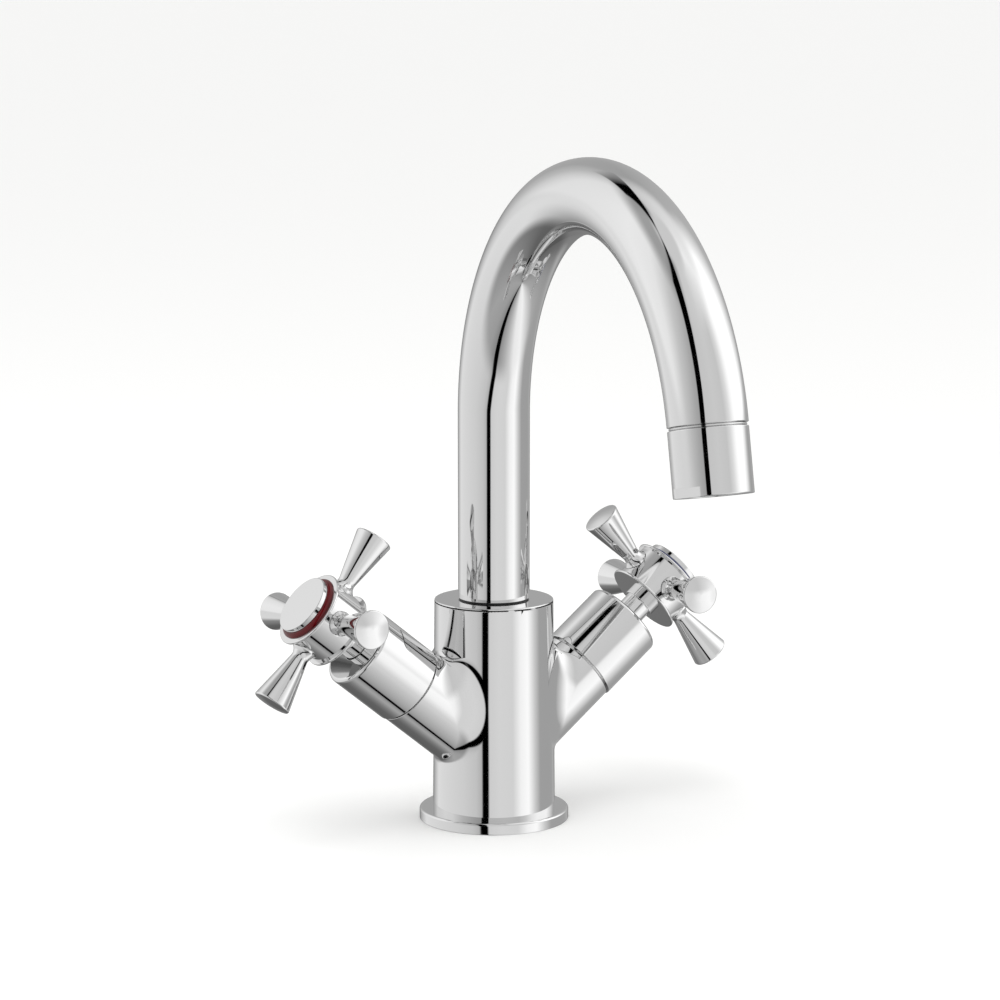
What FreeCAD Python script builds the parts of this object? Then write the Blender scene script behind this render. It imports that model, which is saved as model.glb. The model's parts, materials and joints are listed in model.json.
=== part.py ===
"""Two-handle basin mixer tap with a swivelling swan-neck spout.

Frame: the origin is the centre of the base ring's underside, on the deck.
+Z is up, the spout reaches towards -Y, and the hot handle is on the -X side.
All sizes are millimetres and degrees, kept in the sheet "Sizes".
"""
import FreeCAD, Part
import math
import os
import Sketcher

SIZES = {
    # fits shared by all pieces
    "fixed_clearance": 0.1,
    "solder_gap": 0.05,
    # base and body casting
    "body_bottom_radius": 24.1,
    "body_taper": 0.8,
    "body_top_radius": "=body_bottom_radius - body_taper",
    "body_height": 88.0,
    "body_edge": 0.6,
    "foot_step": 3.1,
    "foot_radius": "=body_bottom_radius - foot_step",
    "base_ring_reach": 5.3,
    "base_ring_radius": "=body_bottom_radius + base_ring_reach",
    "base_ring_height": 4.5,
    "base_ring_edge": 1.0,
    "gasket_inset": 2.6,
    "gasket_inner_radius": "=foot_radius + gasket_inset",
    "gasket_width": 3.8,
    "gasket_height": 1.5,
    # water ways and fixing holes in the casting
    "inlet_spacing": 22.0,
    "inlet_thread_radius": 4.5,
    "inlet_thread_depth": 12.0,
    "water_way_radius": 3.5,
    "water_way_top": "=arm_root_height + water_way_rise",
    "water_way_rise": 7.7,
    "stud_offset": 13.5,
    "stud_radius": 3.4,
    "stud_depth": 15.0,
    "mixing_way_radius": 4.0,
    "mixing_way_rise": 26.2,
    "mixing_way_height": "=arm_root_height + mixing_way_rise",
    "mixing_way_overrun": 1.9,
    "mixing_way_reach": "=pocket_floor * cos(arm_slope) + mixing_way_overrun",
    "chamber_step": 4.0,
    "chamber_radius": "=socket_radius - chamber_step",
    "chamber_sump": 1.5,
    "chamber_floor": "=mixing_way_height - mixing_way_radius - chamber_sump",
    "socket_step": 2.0,
    "socket_radius": "=tube_radius - socket_step",
    "socket_depth": 26.0,
    "socket_floor": "=body_height - socket_depth",
    # inclined arms of the casting
    "arm_root_height": 26.3,
    "arm_slope": 39.0,
    "arm_radius": 15.5,
    "arm_reach": 19.2,
    "arm_sink": 1.1742,
    "arm_end": "=(body_bottom_radius - arm_sink) / cos(arm_slope) + arm_reach",
    "arm_blend": 2.2,
    "pocket_radius": 9.2,
    "pocket_depth": 26.7,
    "pocket_floor": "=arm_end - pocket_depth",
    "seat_way_depth": 10.0,
    "seat_way_start": "=pocket_floor - seat_way_depth",
    "nose_step": 2.5,
    "nose_radius": "=arm_radius - nose_step",
    "nose_length": 5.3,
    # valve sleeve
    "sleeve_gap": 0.8,
    "sleeve_step": 0.5,
    "sleeve_radius": "=arm_radius + sleeve_step",
    "sleeve_reach": 28.1,
    "sleeve_end": "=arm_end + sleeve_reach",
    "sleeve_edge": 1.6,
    "sleeve_end_wall": 2.5,
    "sleeve_hole_gap": 0.4,
    # ceramic valve
    "bonnet_wall": 1.6,
    "bonnet_skirt_radius": "=pocket_radius - fixed_clearance",
    "disc_radius": "=bonnet_skirt_radius - bonnet_wall - fixed_clearance",
    "disc_thickness": 3.0,
    "disc_film": 0.02,
    "washer_thickness": 1.5,
    "washer_wall": 1.0,
    "washer_inner_radius": "=disc_radius - washer_wall",
    "disc_port_radius": 2.1,
    "disc_port_offset": "=washer_inner_radius - fixed_clearance - disc_port_radius",
    "tang_width": 3.0,
    "tang_depth": 1.2,
    "bonnet_waist_depth": 0.7,
    "bonnet_waist_radius": "=bonnet_skirt_radius - bonnet_waist_depth",
    "bonnet_waist_start": "=pocket_floor + 6",
    "bonnet_waist_end": "=pocket_floor + 14",
    "bonnet_window_radius": 1.3,
    "bonnet_window_place": "=pocket_floor + 9.8",
    "bonnet_bore_end": "=pocket_floor + 15",
    "bonnet_nut_room": 0.3,
    "bonnet_nut_flats": "=(nose_radius - bonnet_nut_room) * 2 * cos(30)",
    "bonnet_nut_height": 4.0,
    "bonnet_neck_wall": 3.0,
    "bonnet_neck_radius": "=spindle_radius + bonnet_neck_wall",
    "bonnet_end_depth": 5.3,
    "bonnet_end": "=sleeve_end - bonnet_end_depth",
    "bonnet_seal_place": "=arm_end + 1.1",
    "seal_groove_width": 2.2,
    "bonnet_seal_depth": 1.6,
    "bonnet_seal_floor": "=bonnet_skirt_radius - bonnet_seal_depth",
    # spindle
    "spindle_radius": 5.0,
    "spindle_clearance": 0.06,
    "spindle_flange_thickness": 3.8,
    "spindle_flange_start": "=bonnet_bore_end - spindle_flange_thickness",
    "spindle_step": "=stem_start - fixed_clearance * 3",
    "spindle_end_reach": 4.8,
    "spindle_end": "=hub_start + spindle_end_reach",
    "spindle_seal_place": "=bonnet_end - 10.5",
    "spindle_seal_pitch": 4.0,
    "spindle_seal_depth": 1.3,
    "spindle_seal_floor": "=spindle_radius - spindle_seal_depth",
    "spindle_seal_width": 1.6,
    "circlip_thickness": 1.0,
    "circlip_floor": "=spindle_radius - 0.7",
    "circlip_radius": "=spindle_radius + 1.6",
    "circlip_gap": 2.4,
    "spline_step": 1.0,
    "spline_radius": "=spindle_radius - spline_step",
    "spline_tooth": 0.45,
    # handle
    "handle_gap": 10.4,
    "hub_start": "=sleeve_end + handle_gap",
    "hub_length": 16.0,
    "hub_drum_radius": 14.2,
    "hub_flange_reach": 1.4,
    "hub_flange_radius": "=hub_drum_radius + hub_flange_reach",
    "hub_flange_thickness": 1.1,
    "hub_edge": 0.45,
    "stem_wall": 1.65,
    "stem_radius": "=spline_radius + solder_gap + stem_wall",
    "stem_engagement": 3.4,
    "stem_start": "=sleeve_end - stem_engagement",
    "stem_ring_reach": 0.9,
    "stem_ring_radius": "=stem_radius + stem_ring_reach",
    "stem_ring_length": 2.6,
    "recess_wall": 5.1,
    "recess_radius": "=hub_drum_radius - recess_wall",
    "recess_depth": 6.2,
    "spindle_socket_end": "=spindle_end + 0.5",
    "spoke_seat_radius": 5.0,
    "spoke_seat_depth": 1.0,
    "spoke_seat_reach": "=hub_drum_radius - spoke_seat_depth",
    "spoke_hole_radius": 2.5,
    "spoke_hole_wall": 0.7,
    "spoke_hole_reach": "=recess_radius + spoke_hole_wall",
    "spoke_collar_radius": "=spoke_seat_radius - 0.2",
    "spoke_collar_height": 0.9,
    "spoke_neck_radius": 3.4,
    "spoke_neck_place": 3.2,
    "spoke_neck_reach": "=hub_drum_radius + spoke_neck_place",
    "spoke_tip_radius": 7.5,
    "spoke_length": 23.6,
    "spoke_tip_reach": "=hub_drum_radius + spoke_length",
    "spoke_tip_edge": 0.6,
    "spoke_crown": 0.9,
    "index_ring_step": 0.8,
    "index_ring_radius": "=hub_drum_radius - index_ring_step",
    "index_ring_height": 1.6,
    "index_ring_bore": "=recess_radius + fixed_clearance * 2",
    "index_ring_round": 2.4,
    "cap_step": 2.3,
    "cap_radius": "=hub_drum_radius - cap_step",
    "cap_thickness": 2.0,
    "cap_edge": 0.3,
    "cap_plug_depth": 3.0,
    "cap_plug_wall": 1.1,
    "screw_radius": 2.0,
    "screw_engagement": 10.0,
    "screw_tip": "=spindle_end - screw_engagement",
    "screw_head_radius": 3.6,
    "screw_head_height": 2.4,
    "screw_socket_flats": 2.5,
    "screw_socket_depth": 1.4,
    "hot_handle_turn": 5.5,
    "cold_handle_turn": -5.5,
    # spout
    "tube_radius": 14.0,
    "tube_wall": 1.2,
    "riser_length": 73.0,
    "riser_top": "=body_height + riser_length",
    "bend_radius": 90.2,
    "bend_angle": 168.0,
    "spout_turn": -4.3,
    "slide_ring_thickness": 0.5,
    "slide_ring_step": 0.4,
    "slide_ring_radius": "=tube_radius - slide_ring_step",
    "slide_film": 0.05,
    "spigot_clearance": 0.06,
    "spigot_gap": 1.0,
    "spigot_wall": 3.5,
    "spigot_bore": "=socket_radius - spigot_wall",
    "spigot_plug_length": 14.0,
    "spout_seal_place": "=socket_floor + 8",
    "spout_seal_pitch": 7.0,
    "spout_seal_depth": 2.4,
    "spout_seal_floor": "=socket_radius - spout_seal_depth",
    "spout_seal_width": 2.6,
    "clip_place": "=socket_floor + 2.2",
    "clip_thickness": 1.5,
    "clip_floor": "=socket_radius - 1.2",
    "clip_radius": "=socket_radius + 0.5",
    "clip_room": 0.2,
    "clip_gap": 5.0,
    # outlet
    "nipple_plug_length": 6.0,
    "nipple_flange_radius": "=tube_radius - 0.6",
    "nipple_flange_length": 1.2,
    "nipple_thread_radius": "=tube_radius - 2",
    "nipple_end": 9.0,
    "nipple_wall": 2.5,
    "nipple_bore": "=nipple_thread_radius - nipple_wall",
    "collar_radius": "=tube_radius - solder_gap",
    "collar_end": 24.3,
    "collar_edge": 0.4,
    "collar_lip": 3.9,
    "collar_lip_width": 1.7,
    "collar_lip_radius": "=nipple_thread_radius - collar_lip_width",
    "flat_depth": 1.65,
    "flat_distance": "=collar_radius - flat_depth",
    "flat_length": 3.4,
    "flat_turn": 73.0,
    "aerator_washer_thickness": 1.8,
    "aerator_washer_bore": "=nipple_bore - 0.7",
    "aerator_wall": 1.1,
    "aerator_plate": 2.6,
    "aerator_nose_gap": 0.8,
    "aerator_hole_radius": 0.9,
    "aerator_hole_margin": 2.25,
    "aerator_outer_pitch": "=collar_lip_radius - solder_gap - aerator_wall - aerator_hole_margin",
    "aerator_inner_pitch": "=aerator_outer_pitch / 2",
}

HOT = "hot"
COLD = "cold"
SIDES = {HOT: -1, COLD: 1}
SPOKE_COUNT = 4
SPLINE_COUNT = 18
SEAL_COUNT = 2
# the most of the room on an arm that its root radius may take
BLEND_SHARE = 0.85

doc = FreeCAD.newDocument("BasinMixer")
sheet = doc.addObject("Spreadsheet::Sheet", "Sizes")
for row, alias in enumerate(SIZES, start=1):
    sheet.set(f"A{row}", alias)
    sheet.setAlias(f"B{row}", alias)
for row, amount in enumerate(SIZES.values(), start=1):
    sheet.set(f"B{row}", str(amount))
doc.recompute()


class Size:
    """A number that also carries the sheet expression it comes from."""

    def __init__(self, value, text):
        self.value = value
        self.text = text

    def __add__(self, other):
        other = as_size(other)
        return Size(self.value + other.value, f"({self.text} + {other.text})")

    def __sub__(self, other):
        other = as_size(other)
        return Size(self.value - other.value, f"({self.text} - {other.text})")

    def __mul__(self, other):
        other = as_size(other)
        return Size(self.value * other.value, f"({self.text} * {other.text})")

    def __truediv__(self, other):
        other = as_size(other)
        return Size(self.value / other.value, f"({self.text} / {other.text})")

    def __neg__(self):
        return Size(-self.value, f"(0 - {self.text})")


def as_size(number):
    """Wrap a plain number, and pass a Size through."""
    if isinstance(number, Size):
        return number
    return Size(float(number), repr(float(number)))


def size(alias):
    """The sheet's size of that name."""
    return Size(float(sheet.get(alias)), f"Sizes.{alias}")


def smaller(first, second):
    return Size(min(first.value, second.value), f"min({first.text}; {second.text})")


def cosine(angle):
    return Size(math.cos(math.radians(angle.value)), f"cos({angle.text})")


def sine(angle):
    return Size(math.sin(math.radians(angle.value)), f"sin({angle.text})")


# ---------------------------------------------------------------- sketching


def new_body(label):
    body = doc.addObject("PartDesign::Body", label)
    body.Label = label
    return body


def origin_feature(body, role):
    """One of the body's own origin planes or axes."""
    return next(item for item in body.Origin.OriginFeatures if item.Role == role)


def new_sketch(body, name, role="XZ_Plane", offset=None):
    """A sketch on one of the body's own planes, moved along the plane's normal."""
    sketch = body.newObject("Sketcher::SketchObject", f"{body.Name}_{name}")
    sketch.AttachmentSupport = [(origin_feature(body, role), "")]
    sketch.MapMode = "FlatFace"
    if offset is not None:
        sketch.AttachmentOffset = FreeCAD.Placement(FreeCAD.Vector(0, 0, offset.value),
                                                    FreeCAD.Rotation())
        sketch.setExpression("AttachmentOffset.Base.z", offset.text)
    return sketch


def bind(sketch, constraint, amount):
    """Add a sized constraint and tie it to the sheet."""
    index = sketch.addConstraint(constraint)
    sketch.setExpression(f"Constraints[{index}]", amount.text)


def pin_point(sketch, geometry, end, x, y):
    """Fix a sketch point to its two coordinates."""
    if x.value == 0:
        sketch.addConstraint(Sketcher.Constraint("PointOnObject", geometry, end, -2))
    else:
        bind(sketch, Sketcher.Constraint("DistanceX", -1, 1, geometry, end, x.value), x)
    if y.value == 0:
        sketch.addConstraint(Sketcher.Constraint("PointOnObject", geometry, end, -1))
    else:
        bind(sketch, Sketcher.Constraint("DistanceY", -1, 1, geometry, end, y.value), y)


def arc_middle(start, end, radius):
    """Middle of the arc; a positive radius bulges to the right of the way to the end."""
    chord = end - start
    half = chord.Length / 2
    rise = abs(radius) - math.sqrt(radius * radius - half * half)
    right = FreeCAD.Vector(chord.y, -chord.x, 0).normalize()
    return (start + end) * 0.5 + right * math.copysign(rise, radius)


def draw_outline(sketch, corners):
    """Draw a closed outline, anticlockwise.

    A corner is (x, y), or (x, y, radius) where an arc leads to the next corner.
    A positive radius is convex and a negative one is hollow.
    """
    corners = [tuple(as_size(item) for item in corner) for corner in corners]
    points = [FreeCAD.Vector(corner[0].value, corner[1].value, 0) for corner in corners]
    pieces = []
    for number, corner in enumerate(corners):
        start = points[number]
        end = points[(number + 1) % len(points)]
        if len(corner) == 3:
            middle = arc_middle(start, end, corner[2].value)
            piece = sketch.addGeometry(Part.Arc(start, middle, end), False)
        else:
            piece = sketch.addGeometry(Part.LineSegment(start, end), False)
        first_end = 1 if sketch.getPoint(piece, 1).distanceToPoint(start) < 1e-6 else 2
        pieces.append((piece, first_end))
    for number, (piece, first_end) in enumerate(pieces):
        following, following_end = pieces[(number + 1) % len(pieces)]
        sketch.addConstraint(Sketcher.Constraint("Coincident", piece, 3 - first_end,
                                                 following, following_end))
    for corner, (piece, first_end) in zip(corners, pieces):
        pin_point(sketch, piece, first_end, corner[0], corner[1])
        if len(corner) == 3:
            radius = corner[2]
            if radius.value < 0:
                radius = -radius
            bind(sketch, Sketcher.Constraint("Radius", piece, radius.value), radius)
    return pieces


def draw_circle(sketch, x, y, radius):
    """Draw a circle whose centre and radius follow the sheet."""
    x, y, radius = as_size(x), as_size(y), as_size(radius)
    centre = FreeCAD.Vector(x.value, y.value, 0)
    circle = sketch.addGeometry(Part.Circle(centre, FreeCAD.Vector(0, 0, 1), radius.value), False)
    pin_point(sketch, circle, 3, x, y)
    bind(sketch, Sketcher.Constraint("Radius", circle, radius.value), radius)


def draw_axis(sketch, start, end):
    """Draw a construction line, which is the sketch's Axis0."""
    points = [FreeCAD.Vector(point[0].value, point[1].value, 0) for point in (start, end)]
    line = sketch.addGeometry(Part.LineSegment(*points), True)
    pin_point(sketch, line, 1, *start)
    pin_point(sketch, line, 2, *end)


def box_outline(left, low, right, high):
    """Corners of an upright rectangle."""
    return [(left, low), (right, low), (right, high), (left, high)]


def hexagon(flats):
    """Corners of a hexagon of that width across flats."""
    reach = flats / 2 / math.cos(math.radians(30))
    turns = [as_size(60 * number) for number in range(6)]
    return [(reach * cosine(turn), reach * sine(turn)) for turn in turns]


# ----------------------------------------------------------------- features


def revolve(body, name, corners, cut=False):
    """Turn an outline of (radius, height) corners about the body's Z axis."""
    sketch = new_sketch(body, name + "_outline")
    draw_outline(sketch, corners)
    kind = "Groove" if cut else "Revolution"
    feature = body.newObject(f"PartDesign::{kind}", f"{body.Name}_{name}")
    feature.Profile = sketch
    feature.ReferenceAxis = (sketch, ["V_Axis"])
    feature.Angle = 360
    sketch.Visibility = False
    doc.recompute()
    return feature


def extrude(body, name, sketch, length, cut=False, upwards=True, both_ways=False):
    """Pad or pocket a sketch along its plane's normal."""
    kind = "Pocket" if cut else "Pad"
    feature = body.newObject(f"PartDesign::{kind}", f"{body.Name}_{name}")
    feature.Profile = sketch
    length = as_size(length)
    feature.Length = length.value
    feature.setExpression("Length", length.text)
    if both_ways:
        feature.SideType = "Symmetric"
    elif cut:
        feature.Reversed = upwards
    else:
        feature.Reversed = not upwards
    sketch.Visibility = False
    doc.recompute()
    return feature


def repeat_round(body, name, originals, axis_sketch, axis, count):
    """Repeat features about an axis of a sketch."""
    pattern = body.newObject("PartDesign::PolarPattern", f"{body.Name}_{name}")
    pattern.Originals = originals
    pattern.Axis = (axis_sketch, [axis])
    pattern.Angle = 360
    pattern.Occurrences = count
    body.Tip = pattern
    doc.recompute()
    return pattern


def turned_piece(label, corners, placement=None):
    """A body that is one turned outline."""
    body = new_body(label)
    revolve(body, "turned", corners)
    if placement is not None:
        body.Placement = placement
    return body


def seal_rings(label, floor, reach, first, pitch, count, placement):
    """Round rubber rings on one axis, each between its groove's floor and its reach."""
    body = new_body(label)
    thickness = (reach - floor) / 2
    for number in range(count):
        middle = first + pitch * number
        sketch = new_sketch(body, f"section_{number}")
        draw_circle(sketch, floor + thickness, middle, thickness)
        ring = body.newObject("PartDesign::Revolution", f"{body.Name}_ring_{number}")
        ring.Profile = sketch
        ring.ReferenceAxis = (sketch, ["V_Axis"])
        ring.Angle = 360
        sketch.Visibility = False
    doc.recompute()
    body.Placement = placement
    return body


def split_ring(label, inner, outer, bottom, thickness, gap, placement):
    """A flat snap ring with an open gap on its +X side."""
    body = new_body(label)
    ring = revolve(body, "ring", box_outline(inner, bottom, outer, bottom + thickness))
    sketch = new_sketch(body, "gap_outline", "XY_Plane", bottom)
    draw_outline(sketch, box_outline(as_size(0), -gap / 2, outer * 1.5, gap / 2))
    cut = extrude(body, "gap", sketch, thickness, cut=True)
    report_cut(ring, cut)
    body.Placement = placement
    return body


def report_cut(before, after):
    """Stop if a cut removed nothing."""
    if after.Shape.Volume > before.Shape.Volume - 1e-3:
        raise RuntimeError(f"{after.Name} removes nothing")


def arm_placement(side, turn=0.0):
    """From a frame whose Z is the arm's axis to the row's frame."""
    lean = SIDES[side] * (90 - size("arm_slope").value)
    rotation = FreeCAD.Rotation(FreeCAD.Vector(0, 1, 0), lean)
    rotation = rotation * FreeCAD.Rotation(FreeCAD.Vector(0, 0, 1), turn)
    root = FreeCAD.Vector(0, 0, size("arm_root_height").value)
    return FreeCAD.Placement(root, rotation)


def handle_placement(side):
    return arm_placement(side, size(f"{side}_handle_turn").value)


def spout_placement():
    """The spout is turned about Z from straight ahead."""
    turn = FreeCAD.Rotation(FreeCAD.Vector(0, 0, 1), size("spout_turn").value)
    return FreeCAD.Placement(FreeCAD.Vector(), turn)


def outlet_placement(turn=0.0):
    """From a frame whose Z runs out of the spout's mouth to the row's frame."""
    angle = math.radians(size("bend_angle").value)
    radius = size("bend_radius").value
    mouth = FreeCAD.Vector(0, -radius * (1 - math.cos(angle)),
                           size("riser_top").value + radius * math.sin(angle))
    rotation = FreeCAD.Rotation(FreeCAD.Vector(1, 0, 0), size("bend_angle").value)
    rotation = rotation * FreeCAD.Rotation(FreeCAD.Vector(0, 0, 1), turn)
    return spout_placement() * FreeCAD.Placement(mouth, rotation)


# ------------------------------------------------------------- fixed pieces


def make_base_ring():
    """Escutcheon under the body, with a groove for its gasket."""
    bore = size("foot_radius") + size("fixed_clearance")
    radius = size("base_ring_radius")
    height = size("base_ring_height")
    edge = size("base_ring_edge")
    body = new_body("base_ring")
    ring = revolve(body, "turned", [
        (bore, as_size(0)), (radius, as_size(0)), (radius, height - edge, edge),
        (radius - edge, height), (bore, height)])
    inner = size("gasket_inner_radius") - size("fixed_clearance")
    outer = size("gasket_inner_radius") + size("gasket_width") + size("fixed_clearance")
    groove = revolve(body, "groove", box_outline(inner, as_size(0), outer, size("gasket_height")),
                     cut=True)
    report_cut(ring, groove)


def make_base_gasket():
    inner = size("gasket_inner_radius")
    turned_piece("base_gasket", box_outline(inner, as_size(0), inner + size("gasket_width"),
                                            size("gasket_height")))


def arm_point(along, across):
    """Sketch point on the XZ plane, from distances along and across the +X arm's axis."""
    lean = size("arm_slope")
    return (along * cosine(lean) - across * sine(lean),
            size("arm_root_height") + along * sine(lean) + across * cosine(lean))


def revolve_on_arm(body, name, corners, cut=False):
    """Turn an outline of (along, across) corners about the +X arm's axis."""
    sketch = new_sketch(body, name + "_outline")
    draw_outline(sketch, [arm_point(*corner) for corner in corners])
    draw_axis(sketch, arm_point(as_size(0), as_size(0)),
              arm_point(size("arm_end"), as_size(0)))
    kind = "Groove" if cut else "Revolution"
    feature = body.newObject(f"PartDesign::{kind}", f"{body.Name}_{name}")
    feature.Profile = sketch
    feature.ReferenceAxis = (sketch, ["Axis0"])
    feature.Angle = 360
    sketch.Visibility = False
    doc.recompute()
    return feature


def mirror_sideways(body, name, originals):
    """Mirror features to the -X side."""
    mirrored = body.newObject("PartDesign::Mirrored", f"{body.Name}_{name}")
    mirrored.Originals = originals
    mirrored.MirrorPlane = (origin_feature(body, "YZ_Plane"), [""])
    body.Tip = mirrored
    doc.recompute()
    return mirrored


def arm_root_edges(shape):
    """Names of the edges where the arms' sides leave the body's side."""
    lean = math.radians(size("arm_slope").value)
    axis = FreeCAD.Vector(math.cos(lean), 0, math.sin(lean))
    root = FreeCAD.Vector(0, 0, size("arm_root_height").value)
    names = []
    for number, edge in enumerate(shape.Edges, start=1):
        middle = edge.valueAt((edge.FirstParameter + edge.LastParameter) / 2)
        middle.x = abs(middle.x)
        offset = middle - root
        across = (offset - axis * offset.dot(axis)).Length
        from_centre = math.hypot(middle.x, middle.y)
        on_arm = abs(across - size("arm_radius").value) < 0.01
        on_body = size("body_top_radius").value - 0.01 < from_centre
        on_body = on_body and from_centre < size("body_bottom_radius").value + 0.01
        if on_arm and on_body:
            names.append(f"Edge{number}")
    return names


def arm_blend_radius():
    """The arms' root radius, kept short of the arm's end on its steep upper side."""
    lean = size("arm_slope")
    upper_root = (size("body_bottom_radius") + size("arm_radius") * sine(lean)) / cosine(lean)
    half_corner = (as_size(90) - lean) / 2
    room = (size("arm_end") - upper_root) * sine(half_corner) / cosine(half_corner)
    return smaller(size("arm_blend"), room * BLEND_SHARE)


def make_mixer_body():
    """Brass casting: turned column, two inclined arms, water ways and sockets."""
    zero = as_size(0)
    body = new_body("mixer_body")
    foot = size("foot_radius")
    shoulder = size("base_ring_height")
    top = size("body_height")
    edge = size("body_edge")
    revolve(body, "column", [
        (zero, zero), (foot, zero), (foot, shoulder), (size("body_bottom_radius"), shoulder),
        (size("body_top_radius"), top - edge), (size("body_top_radius") - edge, top), (zero, top)])
    arm = revolve_on_arm(body, "arm", [
        (zero, zero), (size("arm_end"), zero), (size("arm_end"), size("arm_radius")),
        (zero, size("arm_radius"))])
    both_arms = mirror_sideways(body, "arms", [arm])
    blend = body.newObject("PartDesign::Fillet", "mixer_body_blend")
    blend.Base = (both_arms, arm_root_edges(both_arms.Shape))
    blend.Radius = arm_blend_radius().value
    blend.setExpression("Radius", arm_blend_radius().text)
    doc.recompute()
    nose_end = size("arm_end") + size("nose_length")
    nose = revolve_on_arm(body, "nose", [
        (size("pocket_floor"), zero), (nose_end, zero), (nose_end, size("nose_radius")),
        (size("pocket_floor"), size("nose_radius"))])
    pocket = revolve_on_arm(body, "valve_pocket", [
        (size("pocket_floor"), zero), (nose_end, zero), (nose_end, size("pocket_radius")),
        (size("pocket_floor"), size("pocket_radius"))], cut=True)
    report_cut(nose, pocket)
    seat_way = revolve_on_arm(body, "seat_way", [
        (size("seat_way_start"), zero), (size("pocket_floor"), zero),
        (size("pocket_floor"), size("water_way_radius")),
        (size("seat_way_start"), size("water_way_radius"))], cut=True)
    report_cut(pocket, seat_way)
    both_pockets = mirror_sideways(body, "valve_pockets", [nose, pocket, seat_way])
    report_cut(seat_way, both_pockets)

    inlet_place = size("inlet_spacing") / 2
    thread_sketch = new_sketch(body, "inlet_threads", "XY_Plane")
    way_sketch = new_sketch(body, "inlet_ways", "XY_Plane")
    for place in (-inlet_place, inlet_place):
        draw_circle(thread_sketch, place, zero, size("inlet_thread_radius"))
        draw_circle(way_sketch, place, zero, size("water_way_radius"))
    threads = extrude(body, "threads", thread_sketch, size("inlet_thread_depth"), cut=True)
    report_cut(both_pockets, threads)
    ways = extrude(body, "ways", way_sketch, size("water_way_top"), cut=True)
    report_cut(threads, ways)
    stud_sketch = new_sketch(body, "stud", "XY_Plane")
    draw_circle(stud_sketch, zero, size("stud_offset"), size("stud_radius"))
    stud = extrude(body, "stud_hole", stud_sketch, size("stud_depth"), cut=True)
    report_cut(ways, stud)
    mixing_sketch = new_sketch(body, "mixing", "YZ_Plane")
    draw_circle(mixing_sketch, zero, size("mixing_way_height"), size("mixing_way_radius"))
    mixing = extrude(body, "mixing_way", mixing_sketch, size("mixing_way_reach") * 2, cut=True,
                     both_ways=True)
    report_cut(stud, mixing)

    clip_low = size("clip_place") - size("clip_room")
    clip_high = size("clip_place") + size("clip_thickness") + size("clip_room")
    clip_wall = size("clip_radius") + size("clip_room")
    socket = revolve(body, "spout_socket", [
        (zero, size("chamber_floor")), (size("chamber_radius"), size("chamber_floor")),
        (size("chamber_radius"), size("socket_floor")),
        (size("socket_radius"), size("socket_floor")), (size("socket_radius"), clip_low),
        (clip_wall, clip_low), (clip_wall, clip_high), (size("socket_radius"), clip_high),
        (size("socket_radius"), top), (zero, top)], cut=True)
    report_cut(mixing, socket)


def make_spout_slide_ring():
    """Plastic ring that the spout's foot turns on."""
    inner = size("socket_radius") + size("fixed_clearance")
    bottom = size("body_height")
    turned_piece("spout_slide_ring", box_outline(inner, bottom, size("slide_ring_radius"),
                                                 bottom + size("slide_ring_thickness")))


def make_sleeve(side):
    """Chromed cup over the valve, screwed on the arm's nose."""
    start = size("arm_end") + size("sleeve_gap")
    end = size("sleeve_end")
    outer = size("sleeve_radius")
    edge = size("sleeve_edge")
    small_edge = size("body_edge") / 2
    bore = size("nose_radius") + size("fixed_clearance")
    hole = size("stem_radius") + size("sleeve_hole_gap")
    inside = end - size("sleeve_end_wall")
    turned_piece(f"{side}_sleeve", [
        (bore, start), (outer - small_edge, start, small_edge), (outer, start + small_edge),
        (outer, end - edge, edge), (outer - edge, end), (hole, end), (hole, inside),
        (bore, inside)], arm_placement(side))


def make_bonnet(side):
    """Brass housing of the ceramic valve, screwed into the arm."""
    start = size("pocket_floor") + size("fixed_clearance") * 3
    nut_low = size("arm_end") + size("nose_length")
    nut_high = nut_low + size("bonnet_nut_height")
    skirt = size("bonnet_skirt_radius")
    waist = size("bonnet_waist_radius")
    bore = size("disc_radius") + size("fixed_clearance")
    spindle_bore = size("spindle_radius") + size("spindle_clearance")
    groove_low = size("bonnet_seal_place") - size("seal_groove_width") / 2
    groove_high = size("bonnet_seal_place") + size("seal_groove_width") / 2
    body = new_body(f"{side}_bonnet")
    revolve(body, "turned", [
        (bore, start), (skirt, start), (skirt, size("bonnet_waist_start")),
        (waist, size("bonnet_waist_start")), (waist, size("bonnet_waist_end")),
        (skirt, size("bonnet_waist_end")), (skirt, groove_low),
        (size("bonnet_seal_floor"), groove_low), (size("bonnet_seal_floor"), groove_high),
        (skirt, groove_high), (skirt, nut_low), (size("bonnet_neck_radius"), nut_low),
        (size("bonnet_neck_radius"), size("bonnet_end")), (spindle_bore, size("bonnet_end")),
        (spindle_bore, size("bonnet_bore_end")), (bore, size("bonnet_bore_end"))])
    nut_sketch = new_sketch(body, "nut_outline", "XY_Plane", nut_low)
    draw_outline(nut_sketch, hexagon(size("bonnet_nut_flats")))
    draw_circle(nut_sketch, 0, 0, spindle_bore)
    nut = extrude(body, "nut", nut_sketch, nut_high - nut_low)
    window_cuts = []
    for plane in ("XZ_Plane", "YZ_Plane"):
        sketch = new_sketch(body, f"window_{plane[:2]}", plane)
        draw_circle(sketch, 0, size("bonnet_window_place"), size("bonnet_window_radius"))
        window_cuts.append(extrude(body, f"windows_{plane[:2]}", sketch, skirt * 3, cut=True,
                                   both_ways=True))
    report_cut(nut, window_cuts[0])
    report_cut(window_cuts[0], window_cuts[1])
    body.Placement = arm_placement(side)


def make_bonnet_seal(side):
    seal_rings(f"{side}_bonnet_seal", size("bonnet_seal_floor"), size("bonnet_skirt_radius"),
               size("bonnet_seal_place"), as_size(0), 1, arm_placement(side))


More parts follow.
